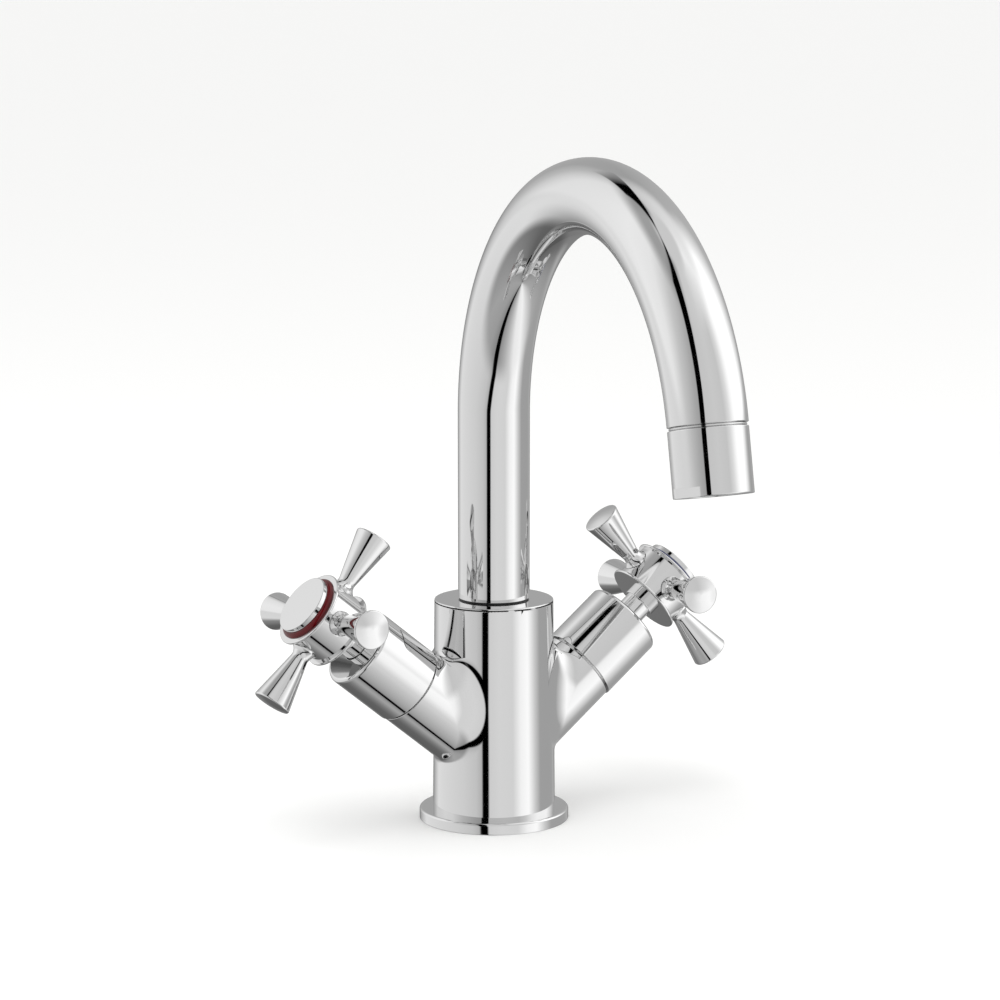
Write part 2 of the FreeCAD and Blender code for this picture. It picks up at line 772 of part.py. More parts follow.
def make_seat_washer(side):
    """Rubber washer between the arm's seat and the fixed disc."""
    floor = size("pocket_floor")
    turned_piece(f"{side}_seat_washer", box_outline(
        size("washer_inner_radius"), floor, size("disc_radius"),
        floor + size("washer_thickness")), arm_placement(side))


def disc_with_ports(label, bottom, placement):
    """Ceramic disc with two round ports across its centre line."""
    body = new_body(label)
    disc = revolve(body, "turned", box_outline(as_size(0), bottom, size("disc_radius"),
                                               bottom + size("disc_thickness")))
    sketch = new_sketch(body, "ports_outline", "XY_Plane", bottom)
    for offset in (-size("disc_port_offset"), size("disc_port_offset")):
        draw_circle(sketch, offset, 0, size("disc_port_radius"))
    ports = extrude(body, "ports", sketch, size("disc_thickness"), cut=True)
    report_cut(disc, ports)
    body.Placement = placement
    return body, ports


def fixed_disc_bottom():
    return size("pocket_floor") + size("washer_thickness")


def turning_disc_bottom():
    return fixed_disc_bottom() + size("disc_thickness") + size("disc_film")


def make_discs(side):
    """The fixed disc, and the turning disc a quarter turn away, which closes the valve."""
    turned_off = size(f"{side}_handle_turn").value
    disc_with_ports(f"{side}_fixed_disc", fixed_disc_bottom(), arm_placement(side, turned_off))
    bottom = turning_disc_bottom()
    body, ports = disc_with_ports(f"{side}_turning_disc", bottom,
                                  arm_placement(side, turned_off + 90))
    slot_bottom = bottom + size("disc_thickness") - size("tang_depth")
    sketch = new_sketch(body, "slot_outline", "XY_Plane", slot_bottom)
    half = size("tang_width") / 2 + size("fixed_clearance")
    draw_outline(sketch, box_outline(-half, -size("disc_radius") * 1.2, half,
                                     size("disc_radius") * 1.2))
    slot = extrude(body, "slot", sketch, size("tang_depth"), cut=True)
    report_cut(ports, slot)


def spindle_seal_places():
    first = size("spindle_seal_place")
    return [first + size("spindle_seal_pitch") * number for number in range(SEAL_COUNT)]


def circlip_bottom():
    return size("bonnet_end") + size("fixed_clearance") * 3


def make_spindle(side):
    """Brass spindle: tang, flange, sealed shaft, circlip groove and splined end."""
    zero = as_size(0)
    shaft = size("spindle_radius")
    half = size("spindle_seal_width") / 2
    flange_end = size("bonnet_bore_end") - size("fixed_clearance")
    outline = [(zero, size("spindle_flange_start")),
               (size("disc_radius"), size("spindle_flange_start")),
               (size("disc_radius"), flange_end), (shaft, flange_end)]
    for place in spindle_seal_places():
        outline += [(shaft, place - half), (size("spindle_seal_floor"), place - half),
                    (size("spindle_seal_floor"), place + half), (shaft, place + half)]
    clip_low = circlip_bottom()
    clip_high = clip_low + size("circlip_thickness")
    outline += [(shaft, clip_low), (size("circlip_floor"), clip_low),
                (size("circlip_floor"), clip_high), (shaft, clip_high),
                (shaft, size("spindle_step")), (size("spline_radius"), size("spindle_step")),
                (size("spline_radius"), size("spindle_end")), (zero, size("spindle_end"))]
    body = new_body(f"{side}_spindle")
    revolve(body, "turned", outline)
    tang_bottom = turning_disc_bottom() + size("disc_thickness") - size("tang_depth")
    tang_sketch = new_sketch(body, "tang_outline", "XY_Plane", tang_bottom)
    half_width = size("tang_width") / 2
    half_length = size("disc_radius") * 0.85
    draw_outline(tang_sketch, box_outline(-half_length, -half_width, half_length, half_width))
    tang = extrude(body, "tang", tang_sketch, flange_end - tang_bottom)
    hole_sketch = new_sketch(body, "tapped_outline", "XY_Plane", size("spindle_end"))
    draw_circle(hole_sketch, 0, 0, size("screw_radius") + size("solder_gap"))
    hole = extrude(body, "tapped_hole", hole_sketch, size("spindle_end") - size("screw_tip"),
                   cut=True, upwards=False)
    report_cut(tang, hole)
    tooth_sketch = new_sketch(body, "tooth_outline", "XY_Plane",
                              size("hub_start") - size("stem_ring_length") * 3)
    draw_circle(tooth_sketch, size("spline_radius") + size("spline_tooth") / 4, 0,
                size("spline_tooth"))
    tooth = extrude(body, "tooth_gap", tooth_sketch, size("spindle_end"), cut=True)
    report_cut(hole, tooth)
    repeat_round(body, "splines", [tooth], tooth_sketch, "N_Axis", SPLINE_COUNT)
    body.Placement = handle_placement(side)


def make_spindle_seals(side):
    seal_rings(f"{side}_spindle_seals", size("spindle_seal_floor"),
               size("spindle_radius") + size("spindle_clearance") / 2,
               size("spindle_seal_place"), size("spindle_seal_pitch"), SEAL_COUNT,
               handle_placement(side))


def make_circlip(side):
    split_ring(f"{side}_circlip", size("circlip_floor"), size("circlip_radius"),
               circlip_bottom(), size("circlip_thickness"), size("circlip_gap"),
               handle_placement(side))


# ------------------------------------------------------------ handle pieces


def hub_face():
    return size("hub_start") + size("hub_length")


def spoke_plane():
    return size("hub_start") + size("hub_length") / 2


def make_hub(side):
    """Turned drum with thin flanges, stem, cap recess and four spoke seats."""
    start = size("hub_start")
    face = hub_face()
    flange = size("hub_flange_radius")
    thickness = size("hub_flange_thickness")
    edge = size("hub_edge")
    drum = size("hub_drum_radius")
    stem = size("stem_radius")
    socket = size("spline_radius") + size("solder_gap")
    screw_hole = size("screw_radius") + size("fixed_clearance") * 2
    ring_low = start - size("stem_ring_length")
    recess_floor = face - size("recess_depth")
    body = new_body(f"{side}_hub")
    turned = revolve(body, "turned", [
        (socket, size("stem_start")), (stem, size("stem_start")), (stem, ring_low),
        (size("stem_ring_radius"), ring_low), (size("stem_ring_radius"), start),
        (flange - edge, start, edge), (flange, start + edge),
        (flange, start + thickness - edge, edge), (flange - edge, start + thickness),
        (drum, start + thickness), (drum, face - thickness),
        (flange - edge, face - thickness, edge), (flange, face - thickness + edge),
        (flange, face - edge, edge), (flange - edge, face),
        (size("recess_radius"), face), (size("recess_radius"), recess_floor),
        (screw_hole, recess_floor), (screw_hole, size("spindle_socket_end")),
        (socket, size("spindle_socket_end"))])
    seat_sketch = new_sketch(body, "spoke_seat", "YZ_Plane", size("spoke_seat_reach"))
    draw_circle(seat_sketch, 0, spoke_plane(), size("spoke_seat_radius"))
    seat = extrude(body, "seat", seat_sketch, drum, cut=True)
    report_cut(turned, seat)
    hole_sketch = new_sketch(body, "spoke_hole", "YZ_Plane", size("spoke_hole_reach"))
    draw_circle(hole_sketch, 0, spoke_plane(), size("spoke_hole_radius"))
    hole = extrude(body, "hole", hole_sketch, drum, cut=True)
    report_cut(seat, hole)
    repeat_round(body, "spoke_places", [seat, hole], turned.Profile[0], "V_Axis", SPOKE_COUNT)
    body.Placement = handle_placement(side)


def make_spoke(side, number):
    """Flared spoke: stud, small collar, narrow neck, cone and crowned end."""
    zero = as_size(0)
    stud = size("spoke_hole_radius") - size("solder_gap")
    bottom = size("spoke_seat_reach") + size("solder_gap")
    collar_top = bottom + size("spoke_collar_height")
    tip = size("spoke_tip_reach")
    edge = size("spoke_tip_edge")
    tip_radius = size("spoke_tip_radius")
    crown = size("spoke_crown")
    crown_reach = tip_radius - edge
    crown_radius = (crown_reach * crown_reach + crown * crown) / (crown * 2)
    flare = size("spoke_neck_reach") - collar_top
    spread = size("spoke_collar_radius") - size("spoke_neck_radius")
    flare_radius = (flare * flare + spread * spread) / (spread * 2)
    out = FreeCAD.Rotation(FreeCAD.Vector(0, 1, 0), 90)
    turn = FreeCAD.Rotation(FreeCAD.Vector(0, 0, 1), 360 / SPOKE_COUNT * number)
    place = FreeCAD.Placement(FreeCAD.Vector(0, 0, spoke_plane().value), turn * out)
    turned_piece(f"{side}_spoke_{number + 1}", [
        (zero, size("spoke_hole_reach") + size("fixed_clearance")),
        (stud, size("spoke_hole_reach") + size("fixed_clearance")), (stud, bottom),
        (size("spoke_collar_radius"), bottom), (size("spoke_collar_radius"), collar_top,
                                                -flare_radius),
        (size("spoke_neck_radius"), size("spoke_neck_reach")), (tip_radius, tip - edge, edge),
        (crown_reach, tip, crown_radius), (zero, tip + crown)],
        handle_placement(side) * place)


def make_index_ring(side):
    """Coloured ring around the cap's foot, with a rounded outer edge."""
    face = hub_face()
    top = face + size("index_ring_height")
    lip = size("index_ring_height") / 5
    turned_piece(f"{side}_index_ring", [
        (size("index_ring_bore"), face), (size("index_ring_radius"), face),
        (size("index_ring_radius"), face + lip, size("index_ring_round")),
        (size("cap_radius") + size("fixed_clearance"), top), (size("index_ring_bore"), top)],
        handle_placement(side))


def make_cap(side):
    """Plain cap, pushed into the hub's recess through the index ring."""
    zero = as_size(0)
    bottom = hub_face() + size("index_ring_height")
    top = bottom + size("cap_thickness")
    plug = size("recess_radius") - size("solder_gap")
    plug_low = hub_face() - size("cap_plug_depth")
    edge = size("cap_edge")
    inside = plug - size("cap_plug_wall")
    turned_piece(f"{side}_cap", [
        (zero, bottom), (inside, bottom), (inside, plug_low), (plug, plug_low), (plug, bottom),
        (size("cap_radius"), bottom), (size("cap_radius"), top - edge, edge),
        (size("cap_radius") - edge, top), (zero, top)], handle_placement(side))


def make_handle_screw(side):
    """Socket-head screw that holds the hub on its spindle."""
    zero = as_size(0)
    seat = hub_face() - size("recess_depth")
    head_top = seat + size("screw_head_height")
    tip = size("screw_tip") + size("spindle_clearance")
    body = new_body(f"{side}_handle_screw")
    turned = revolve(body, "turned", [
        (zero, tip), (size("screw_radius"), tip), (size("screw_radius"), seat),
        (size("screw_head_radius"), seat), (size("screw_head_radius"), head_top),
        (zero, head_top)])
    socket_sketch = new_sketch(body, "socket_outline", "XY_Plane", head_top)
    draw_outline(socket_sketch, hexagon(size("screw_socket_flats")))
    socket = extrude(body, "socket", socket_sketch, size("screw_socket_depth"), cut=True,
                     upwards=False)
    report_cut(turned, socket)
    body.Placement = handle_placement(side)


# ------------------------------------------------------------- spout pieces


def tube_start():
    return size("body_height") + size("slide_ring_thickness") + size("slide_film")


def tube_bore():
    return size("tube_radius") - size("tube_wall")


def make_spout_tube():
    """Thin bent tube: a straight riser and one long arc."""
    body = new_body("spout_tube")
    start = tube_start()
    riser_sketch = new_sketch(body, "riser_outline", "XY_Plane", start)
    bend_sketch = new_sketch(body, "bend_outline", "XY_Plane", size("riser_top"))
    for sketch in (riser_sketch, bend_sketch):
        draw_circle(sketch, 0, 0, size("tube_radius"))
        draw_circle(sketch, 0, 0, tube_bore())
    centre = -size("bend_radius")
    reach = size("tube_radius")
    draw_axis(bend_sketch, (-reach, centre), (reach, centre))
    extrude(body, "riser", riser_sketch, size("riser_top") - start)
    bend = body.newObject("PartDesign::Revolution", "spout_tube_bend")
    bend.Profile = bend_sketch
    bend.ReferenceAxis = (bend_sketch, ["Axis0"])
    bend.Angle = size("bend_angle").value
    bend.setExpression("Angle", size("bend_angle").text)
    bend_sketch.Visibility = False
    doc.recompute()
    body.Placement = spout_placement()


def make_spout_foot():
    """Brass foot, soldered into the tube, whose spigot turns in the body's socket."""
    bore = size("spigot_bore")
    spigot = size("socket_radius") - size("spigot_clearance")
    plug = tube_bore() - size("solder_gap")
    shoulder = tube_start()
    half = size("spout_seal_width") / 2
    outline = [(bore, size("socket_floor") + size("spigot_gap")),
               (spigot, size("socket_floor") + size("spigot_gap")), (spigot, size("clip_place")),
               (size("clip_floor"), size("clip_place")),
               (size("clip_floor"), size("clip_place") + size("clip_thickness")),
               (spigot, size("clip_place") + size("clip_thickness"))]
    for number in range(SEAL_COUNT):
        place = size("spout_seal_place") + size("spout_seal_pitch") * number
        outline += [(spigot, place - half), (size("spout_seal_floor"), place - half),
                    (size("spout_seal_floor"), place + half), (spigot, place + half)]
    outline += [(spigot, shoulder), (plug, shoulder), (plug, shoulder + size("spigot_plug_length")),
                (bore, shoulder + size("spigot_plug_length"))]
    turned_piece("spout_foot", outline, spout_placement())


def make_spout_seals():
    seal_rings("spout_seals", size("spout_seal_floor"),
               size("socket_radius") - size("spigot_clearance") / 2, size("spout_seal_place"),
               size("spout_seal_pitch"), SEAL_COUNT, spout_placement())


def make_spout_clip():
    split_ring("spout_clip", size("clip_floor"), size("clip_radius"), size("clip_place"),
               size("clip_thickness"), size("clip_gap"), spout_placement())


def make_outlet_nipple():
    """Threaded end piece, soldered into the tube's mouth."""
    zero = as_size(0)
    flange = size("nipple_flange_length")
    thread = size("nipple_thread_radius")
    bow = size("nipple_plug_length") * size("nipple_plug_length") / (size("bend_radius") * 2)
    plug = tube_bore() - size("solder_gap") - bow
    turned_piece("outlet_nipple", [
        (size("nipple_bore"), -size("nipple_plug_length")), (plug, -size("nipple_plug_length")),
        (plug, zero), (size("nipple_flange_radius"), zero),
        (size("nipple_flange_radius"), flange), (thread, flange), (thread, size("nipple_end")),
        (size("nipple_bore"), size("nipple_end"))], outlet_placement())


def make_aerator_collar():
    """Collar screwed on the nipple, with two spanner flats at its lip."""
    start = size("nipple_flange_length")
    end = size("collar_end")
    outer = size("collar_radius")
    edge = size("collar_edge")
    bore = size("nipple_thread_radius") + size("solder_gap")
    lip = end - size("collar_lip")
    body = new_body("aerator_collar")
    turned = revolve(body, "turned", [
        (bore, start), (outer - edge, start, edge), (outer, start + edge),
        (outer, end - edge, edge), (outer - edge, end), (size("collar_lip_radius"), end),
        (size("collar_lip_radius"), lip), (bore, lip)])
    sketch = new_sketch(body, "flats_outline", "XY_Plane", end - size("flat_length"))
    near = size("flat_distance")
    far = outer * 1.2
    draw_outline(sketch, box_outline(-outer, near, outer, far))
    draw_outline(sketch, box_outline(-outer, -far, outer, -near))
    flats = extrude(body, "flats", sketch, size("flat_length"), cut=True)
    report_cut(turned, flats)
    body.Placement = outlet_placement(size("flat_turn").value)


def make_aerator_washer():
    bottom = size("nipple_end") + size("solder_gap")
    turned_piece("aerator_washer", box_outline(
        size("aerator_washer_bore"), bottom, size("nipple_thread_radius"),
        bottom + size("aerator_washer_thickness")), outlet_placement())


def make_aerator_insert():
    """Flow straightener: a cup whose end plate has three rounds of holes."""
    zero = as_size(0)
    bottom = size("nipple_end") + size("solder_gap") + size("aerator_washer_thickness")
    shoulder = size("collar_end") - size("collar_lip")
    nose = size("collar_end") - size("aerator_nose_gap")
    outer = size("nipple_thread_radius")
    nose_radius = size("collar_lip_radius") - size("solder_gap")
    plate = nose - size("aerator_plate")
    inside = nose_radius - size("aerator_wall")
    body = new_body("aerator_insert")
    turned = revolve(body, "turned", [
        (inside, bottom), (outer, bottom), (outer, shoulder), (nose_radius, shoulder),
        (nose_radius, nose), (zero, nose), (zero, plate), (inside, plate)])
    centre_sketch = new_sketch(body, "centre_hole_outline", "XY_Plane", plate)
    draw_circle(centre_sketch, 0, 0, size("aerator_hole_radius"))
    before = extrude(body, "centre_hole", centre_sketch, size("aerator_plate"), cut=True)
    report_cut(turned, before)
    for name, pitch, count in (("inner", "aerator_inner_pitch", 6),
                               ("outer", "aerator_outer_pitch", 12)):
        sketch = new_sketch(body, f"{name}_hole_outline", "XY_Plane", plate)
        draw_circle(sketch, size(pitch), 0, size("aerator_hole_radius"))
        hole = extrude(body, f"{name}_hole", sketch, size("aerator_plate"), cut=True)
        report_cut(before, hole)
        before = repeat_round(body, f"{name}_holes", [hole], sketch, "N_Axis", count)
    body.Placement = outlet_placement()


# ----------------------------------------------------------------- assembly


make_base_ring()
make_base_gasket()
make_mixer_body()
make_spout_slide_ring()
for side in SIDES:
    make_sleeve(side)
    make_bonnet(side)
    make_bonnet_seal(side)
    make_seat_washer(side)
    make_discs(side)
    make_spindle(side)
    make_spindle_seals(side)
    make_circlip(side)
    make_hub(side)
    for spoke in range(SPOKE_COUNT):
        make_spoke(side, spoke)
    make_index_ring(side)
    make_cap(side)
    make_handle_screw(side)
make_spout_tube()
make_spout_foot()
make_spout_seals()
make_spout_clip()
make_outlet_nipple()
make_aerator_collar()
make_aerator_washer()
make_aerator_insert()
doc.recompute()

for item in doc.Objects:
    if "Invalid" in item.State or "Error" in item.State:
        raise RuntimeError(f"{item.Name} failed: {item.State}")
bodies = [item for item in doc.Objects if item.TypeId == "PartDesign::Body"]
for body in bodies:
    if body.Shape.isNull() or not body.Shape.isValid():
        raise RuntimeError(f"{body.Label} has no valid shape")

os.makedirs("parts", exist_ok=True)
for body in bodies:
    body.Shape.exportStep(f"parts/{body.Label}.step")
print(f"{len(bodies)} parts written")
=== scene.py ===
"""Two-handle basin mixer tap with a swivelling swan-neck spout, in chrome plate.

The script follows the tap as it is put together on the deck: base ring, body casting, valves,
sleeves, handles, spout and outlet. Sizes in the sections are millimetres and degrees.
"""
import json
import math

import bpy
import numpy as np
from mathutils import Matrix, Vector
from mathutils.geometry import delaunay_2d_cdt


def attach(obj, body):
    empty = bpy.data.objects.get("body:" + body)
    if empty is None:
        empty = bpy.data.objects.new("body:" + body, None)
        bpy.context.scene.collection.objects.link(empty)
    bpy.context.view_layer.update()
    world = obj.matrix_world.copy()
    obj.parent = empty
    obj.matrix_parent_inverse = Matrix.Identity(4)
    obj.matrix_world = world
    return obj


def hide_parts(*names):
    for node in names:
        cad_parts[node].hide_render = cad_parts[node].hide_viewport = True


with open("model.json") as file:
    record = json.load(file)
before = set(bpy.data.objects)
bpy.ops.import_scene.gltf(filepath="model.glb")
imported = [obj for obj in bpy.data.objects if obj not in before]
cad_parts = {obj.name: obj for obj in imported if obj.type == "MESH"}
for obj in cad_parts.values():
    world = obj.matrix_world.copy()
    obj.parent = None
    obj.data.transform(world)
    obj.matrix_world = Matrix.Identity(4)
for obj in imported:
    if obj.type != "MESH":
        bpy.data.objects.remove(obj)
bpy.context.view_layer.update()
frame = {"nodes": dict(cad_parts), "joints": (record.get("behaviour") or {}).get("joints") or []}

# ----------------------------------------------------------------------------- camera
# A long lens a little above the handles, in front of the tap and to its left,
# far enough off that the upright column and riser stay upright.
MM = 0.001
VIEW_AZIMUTH = math.radians(-28.424)
VIEW_ELEVATION = math.radians(9.421)
VIEW_DISTANCE = 1312.8
AIM_SIDEWAYS = 2.4
AIM_HEIGHT = 126.9
LENS = 121.21
SENSOR = 36.0

to_camera = Vector((math.sin(VIEW_AZIMUTH) * math.cos(VIEW_ELEVATION),
                    -math.cos(VIEW_AZIMUTH) * math.cos(VIEW_ELEVATION),
                    math.sin(VIEW_ELEVATION)))
to_right = Vector((math.cos(VIEW_AZIMUTH), math.sin(VIEW_AZIMUTH), 0))
aim = to_right * AIM_SIDEWAYS + Vector((0, 0, AIM_HEIGHT))

camera = bpy.data.objects.new("studio_camera", bpy.data.cameras.new("studio_camera"))
camera.data.lens = LENS
camera.data.sensor_width = SENSOR
camera.data.clip_end = 200
camera.location = (aim + to_camera * VIEW_DISTANCE) * MM
camera.rotation_euler = (-to_camera).to_track_quat("-Z", "Y").to_euler()
bpy.context.collection.objects.link(camera)
bpy.context.scene.camera = camera


# ----------------------------------------------------------------------------- studio
# A white product tent: pale sweep underneath, soft white walls, one bright side wall,
# and one narrow black slit beside the lens, which draws the dark line down the chrome.
def linear(code):
    """A linear colour from an sRGB hex code."""
    parts = [int(code[start:start + 2], 16) / 255 for start in (1, 3, 5)]
    parts = [part / 12.92 if part <= 0.04045 else ((part + 0.055) / 1.055) ** 2.4
             for part in parts]
    return (*parts, 1.0)


def add_node(tree, kind, settings, inputs):
    """Add a node with its settings and its inputs, each a value or the socket that feeds it."""
    node = tree.nodes.new(kind)
    for name, value in settings.items():
        setattr(node, name, value)
    for key, value in inputs.items():
        if isinstance(value, bpy.types.NodeSocket):
            tree.links.new(value, node.inputs[key])
        else:
            node.inputs[key].default_value = value
    return node


def set_ramp(ramp, stops):
    """Fill a ramp with (place, grey) stops, in order."""
    elements = ramp.color_ramp.elements
    while len(elements) > 1:
        elements.remove(elements[-1])
    for number, (place, grey) in enumerate(stops):
        element = elements[0] if number == 0 else elements.new(place)
        element.position = place
        element.color = (grey, grey, grey, 1)


# grey of the tent by the angle to the right of the lens, in four belts from the floor up
DEEP_WALLS = [(-180, 0.12), (-150, 0.16), (-110, 0.36), (-75, 0.48), (-45, 0.44), (-25, 0.32),
              (-24, 0.0), (-10.5, 0.0), (-8.5, 0.36), (15, 0.58), (32, 0.80), (48, 1.10),
              (72, 1.20), (92, 0.83), (108, 0.52), (135, 0.40), (160, 0.20), (180, 0.12)]
LOW_WALLS = [(-180, 0.22), (-166, 0.26), (-150, 0.55), (-130, 0.95), (-90, 0.88), (-60, 0.82),
             (-34, 0.72), (-23, 0.58), (-22, 0.0), (-10.5, 0.0), (-9.5, 0.82), (10, 0.88),
             (36, 0.86), (52, 1.20), (68, 1.32), (84, 0.80), (98, 0.46), (140, 0.44),
             (153, 0.50), (166, 0.26), (180, 0.22)]
HIGH_WALLS = [(-180, 0.44), (-163, 0.46), (-150, 0.62), (-134, 0.98), (-105, 1.10),
              (-85, 1.05), (-62, 0.74), (-34, 0.52), (-22, 0.45), (-8, 0.74), (20, 0.78),
              (48, 0.74), (62, 0.95), (76, 1.30), (90, 1.50), (118, 1.50), (134, 1.0),
              (150, 0.56), (180, 0.44)]
UPPER_WALLS = [(-180, 0.85), (-163, 0.78), (-148, 0.34), (-110, 0.46), (-60, 0.44),
               (-38, 0.28), (-22, 0.50), (-8, 0.78), (20, 0.82), (60, 1.0), (90, 1.15),
               (130, 1.0), (180, 0.85)]
# each belt begins between these two sines of the height, and the roof above them all
BELTS = [(LOW_WALLS, -0.64, -0.42), (HIGH_WALLS, -0.05, 0.10), (UPPER_WALLS, 0.70, 0.90)]
ROOF_START = (0.950, 0.985)
ROOF_GREY = 0.78
# degrees by which the low black gap leans to the right, by the sine of the height
GAP_LEAN = [(-1, -9), (-0.5, -9), (-0.2, 0), (1, 0)]
# above the horizon the gap is a straight slit in the tent's roof, from front to back, and
# narrows towards the top; both limits are parts of the way out to the left
SLIT_NEAR = 0.165
SLIT_FAR = 0.385
SLIT_FAR_TOP = 0.20
SWEEP_COLOUR = "#F4F4F3"
SWEEP_REACH = 60.0
TENT_WHITE = 1.04

world = bpy.data.worlds.new("studio_tent")
bpy.context.scene.world = world
world.use_nodes = True
tent = world.node_tree
tent.nodes.clear()
facing = to_camera.copy()
facing.z = 0
facing.normalize()
direction = add_node(tent, "ShaderNodeTexCoord", {}, {}).outputs["Generated"]
forward = add_node(tent, "ShaderNodeVectorMath", {"operation": "DOT_PRODUCT"},
                   {0: direction, 1: facing}).outputs["Value"]
sideways = add_node(tent, "ShaderNodeVectorMath", {"operation": "DOT_PRODUCT"},
                    {0: direction, 1: to_right}).outputs["Value"]
angle = add_node(tent, "ShaderNodeMath", {"operation": "ARCTAN2"},
                 {0: sideways, 1: forward}).outputs[0]
upright = add_node(tent, "ShaderNodeMapRange", {},
                   {"Value": angle, "From Min": -math.pi, "From Max": math.pi}).outputs[0]
height = add_node(tent, "ShaderNodeSeparateXYZ", {}, {0: direction}).outputs["Z"]
raised = add_node(tent, "ShaderNodeMapRange", {},
                  {"Value": height, "From Min": -1.0, "From Max": 1.0}).outputs[0]
lean = add_node(tent, "ShaderNodeValToRGB", {}, {0: raised})
set_ramp(lean, [((sine + 1) / 2, (turn + 30) / 360) for sine, turn in GAP_LEAN])
leaning = add_node(tent, "ShaderNodeMath", {"operation": "ADD"},
                   {0: upright, 1: lean.outputs[0]}).outputs[0]
around = add_node(tent, "ShaderNodeMath", {"operation": "SUBTRACT"},
                  {0: leaning, 1: 30 / 360}).outputs[0]


def belt_grey(stops):
    """Grey of one belt of the tent around the object."""
    belt = add_node(tent, "ShaderNodeValToRGB", {}, {0: around})
    set_ramp(belt, [((turn + 180) / 360, grey) for turn, grey in stops])
    return belt.outputs[0]


def above(low, high):
    """Share that grows from 0 to 1 between two sines of the height."""
    return add_node(tent, "ShaderNodeMapRange", {"interpolation_type": "SMOOTHSTEP"},
                    {"Value": height, "From Min": low, "From Max": high}).outputs[0]


wall = belt_grey(DEEP_WALLS)
for stops, low, high in BELTS:
    wall = add_node(tent, "ShaderNodeMix", {"data_type": "RGBA"},
                    {0: above(low, high), 6: wall, 7: belt_grey(stops)}).outputs[2]
wall = add_node(tent, "ShaderNodeMix", {"data_type": "RGBA"},
                {0: above(*ROOF_START), 6: wall, 7: (ROOF_GREY,) * 3 + (1,)}).outputs[2]
leftwards = add_node(tent, "ShaderNodeMath", {"operation": "MULTIPLY"},
                     {0: sideways, 1: -1.0}).outputs[0]
slit_far = add_node(tent, "ShaderNodeMapRange", {},
                    {"Value": height, "From Min": 0.84, "From Max": 0.985,
                     "To Min": SLIT_FAR, "To Max": SLIT_FAR_TOP}).outputs[0]
beyond = add_node(tent, "ShaderNodeMath", {"operation": "SUBTRACT"},
                  {0: leftwards, 1: slit_far}).outputs[0]
slit = add_node(tent, "ShaderNodeMapRange", {},
                {"Value": leftwards, "From Min": SLIT_NEAR - 0.006,
                 "From Max": SLIT_NEAR + 0.006}).outputs[0]
for value, low, high in ((beyond, 0.012, -0.012), (height, -0.04, 0.03), (height, 0.988, 0.975),
                         (forward, -0.72, -0.52)):
    share = add_node(tent, "ShaderNodeMapRange", {},
                     {"Value": value, "From Min": low, "From Max": high}).outputs[0]
    slit = add_node(tent, "ShaderNodeMath", {"operation": "MULTIPLY"},
                    {0: slit, 1: share}).outputs[0]
wall = add_node(tent, "ShaderNodeMix", {"data_type": "RGBA"},
                {0: slit, 6: wall, 7: (0, 0, 0, 1)}).outputs[2]
rays = add_node(tent, "ShaderNodeLightPath", {}, {})
seen = add_node(tent, "ShaderNodeMix", {"data_type": "RGBA"},
                {0: rays.outputs["Is Glossy Ray"], 6: (TENT_WHITE,) * 3 + (1,),
                 7: wall}).outputs[2]
surround = add_node(tent, "ShaderNodeBackground", {}, {"Color": seen})
add_node(tent, "ShaderNodeOutputWorld", {}, {"Surface": surround.outputs[0]})

sweep_mesh = bpy.data.meshes.new("studio_sweep")
sweep_mesh.from_pydata([(-SWEEP_REACH, -SWEEP_REACH, 0), (SWEEP_REACH, -SWEEP_REACH, 0),
                        (SWEEP_REACH, SWEEP_REACH, 0), (-SWEEP_REACH, SWEEP_REACH, 0)],
                       [], [(0, 1, 2, 3)])
sweep = bpy.data.objects.new("studio_sweep", sweep_mesh)
bpy.context.collection.objects.link(sweep)
paper = bpy.data.materials.new("matt_white_paper_sweep")
paper.use_nodes = True
paper.node_tree.nodes["Principled BSDF"].inputs["Base Color"].default_value = linear(SWEEP_COLOUR)
paper.node_tree.nodes["Principled BSDF"].inputs["Roughness"].default_value = 0.9
sweep_mesh.materials.append(paper)
sweep.visible_glossy = False

lamp = bpy.data.objects.new("overhead_softbox", bpy.data.lights.new("overhead_softbox", "AREA"))
lamp.data.shape = "DISK"
lamp.data.size = 1.2
lamp.data.energy = 9.0
lamp.location = (-0.5, -0.4, 1.6)
lamp.rotation_euler = (-lamp.location).to_track_quat("-Z", "Y").to_euler()
lamp.visible_glossy = False
bpy.context.collection.objects.link(lamp)
bpy.context.scene.view_settings.view_transform = "Standard"


# -------------------------------------------------------------------------- base ring
# The loose escutcheon under the body: a brass ring turned on a lathe, polished and plated
# with bright chrome, with a rubber gasket in a groove underneath.
FULL_TURN = 2 * math.pi
ARC_STEP = math.radians(9)
CREASE = math.radians(25)
ROUND_PARTS = 160


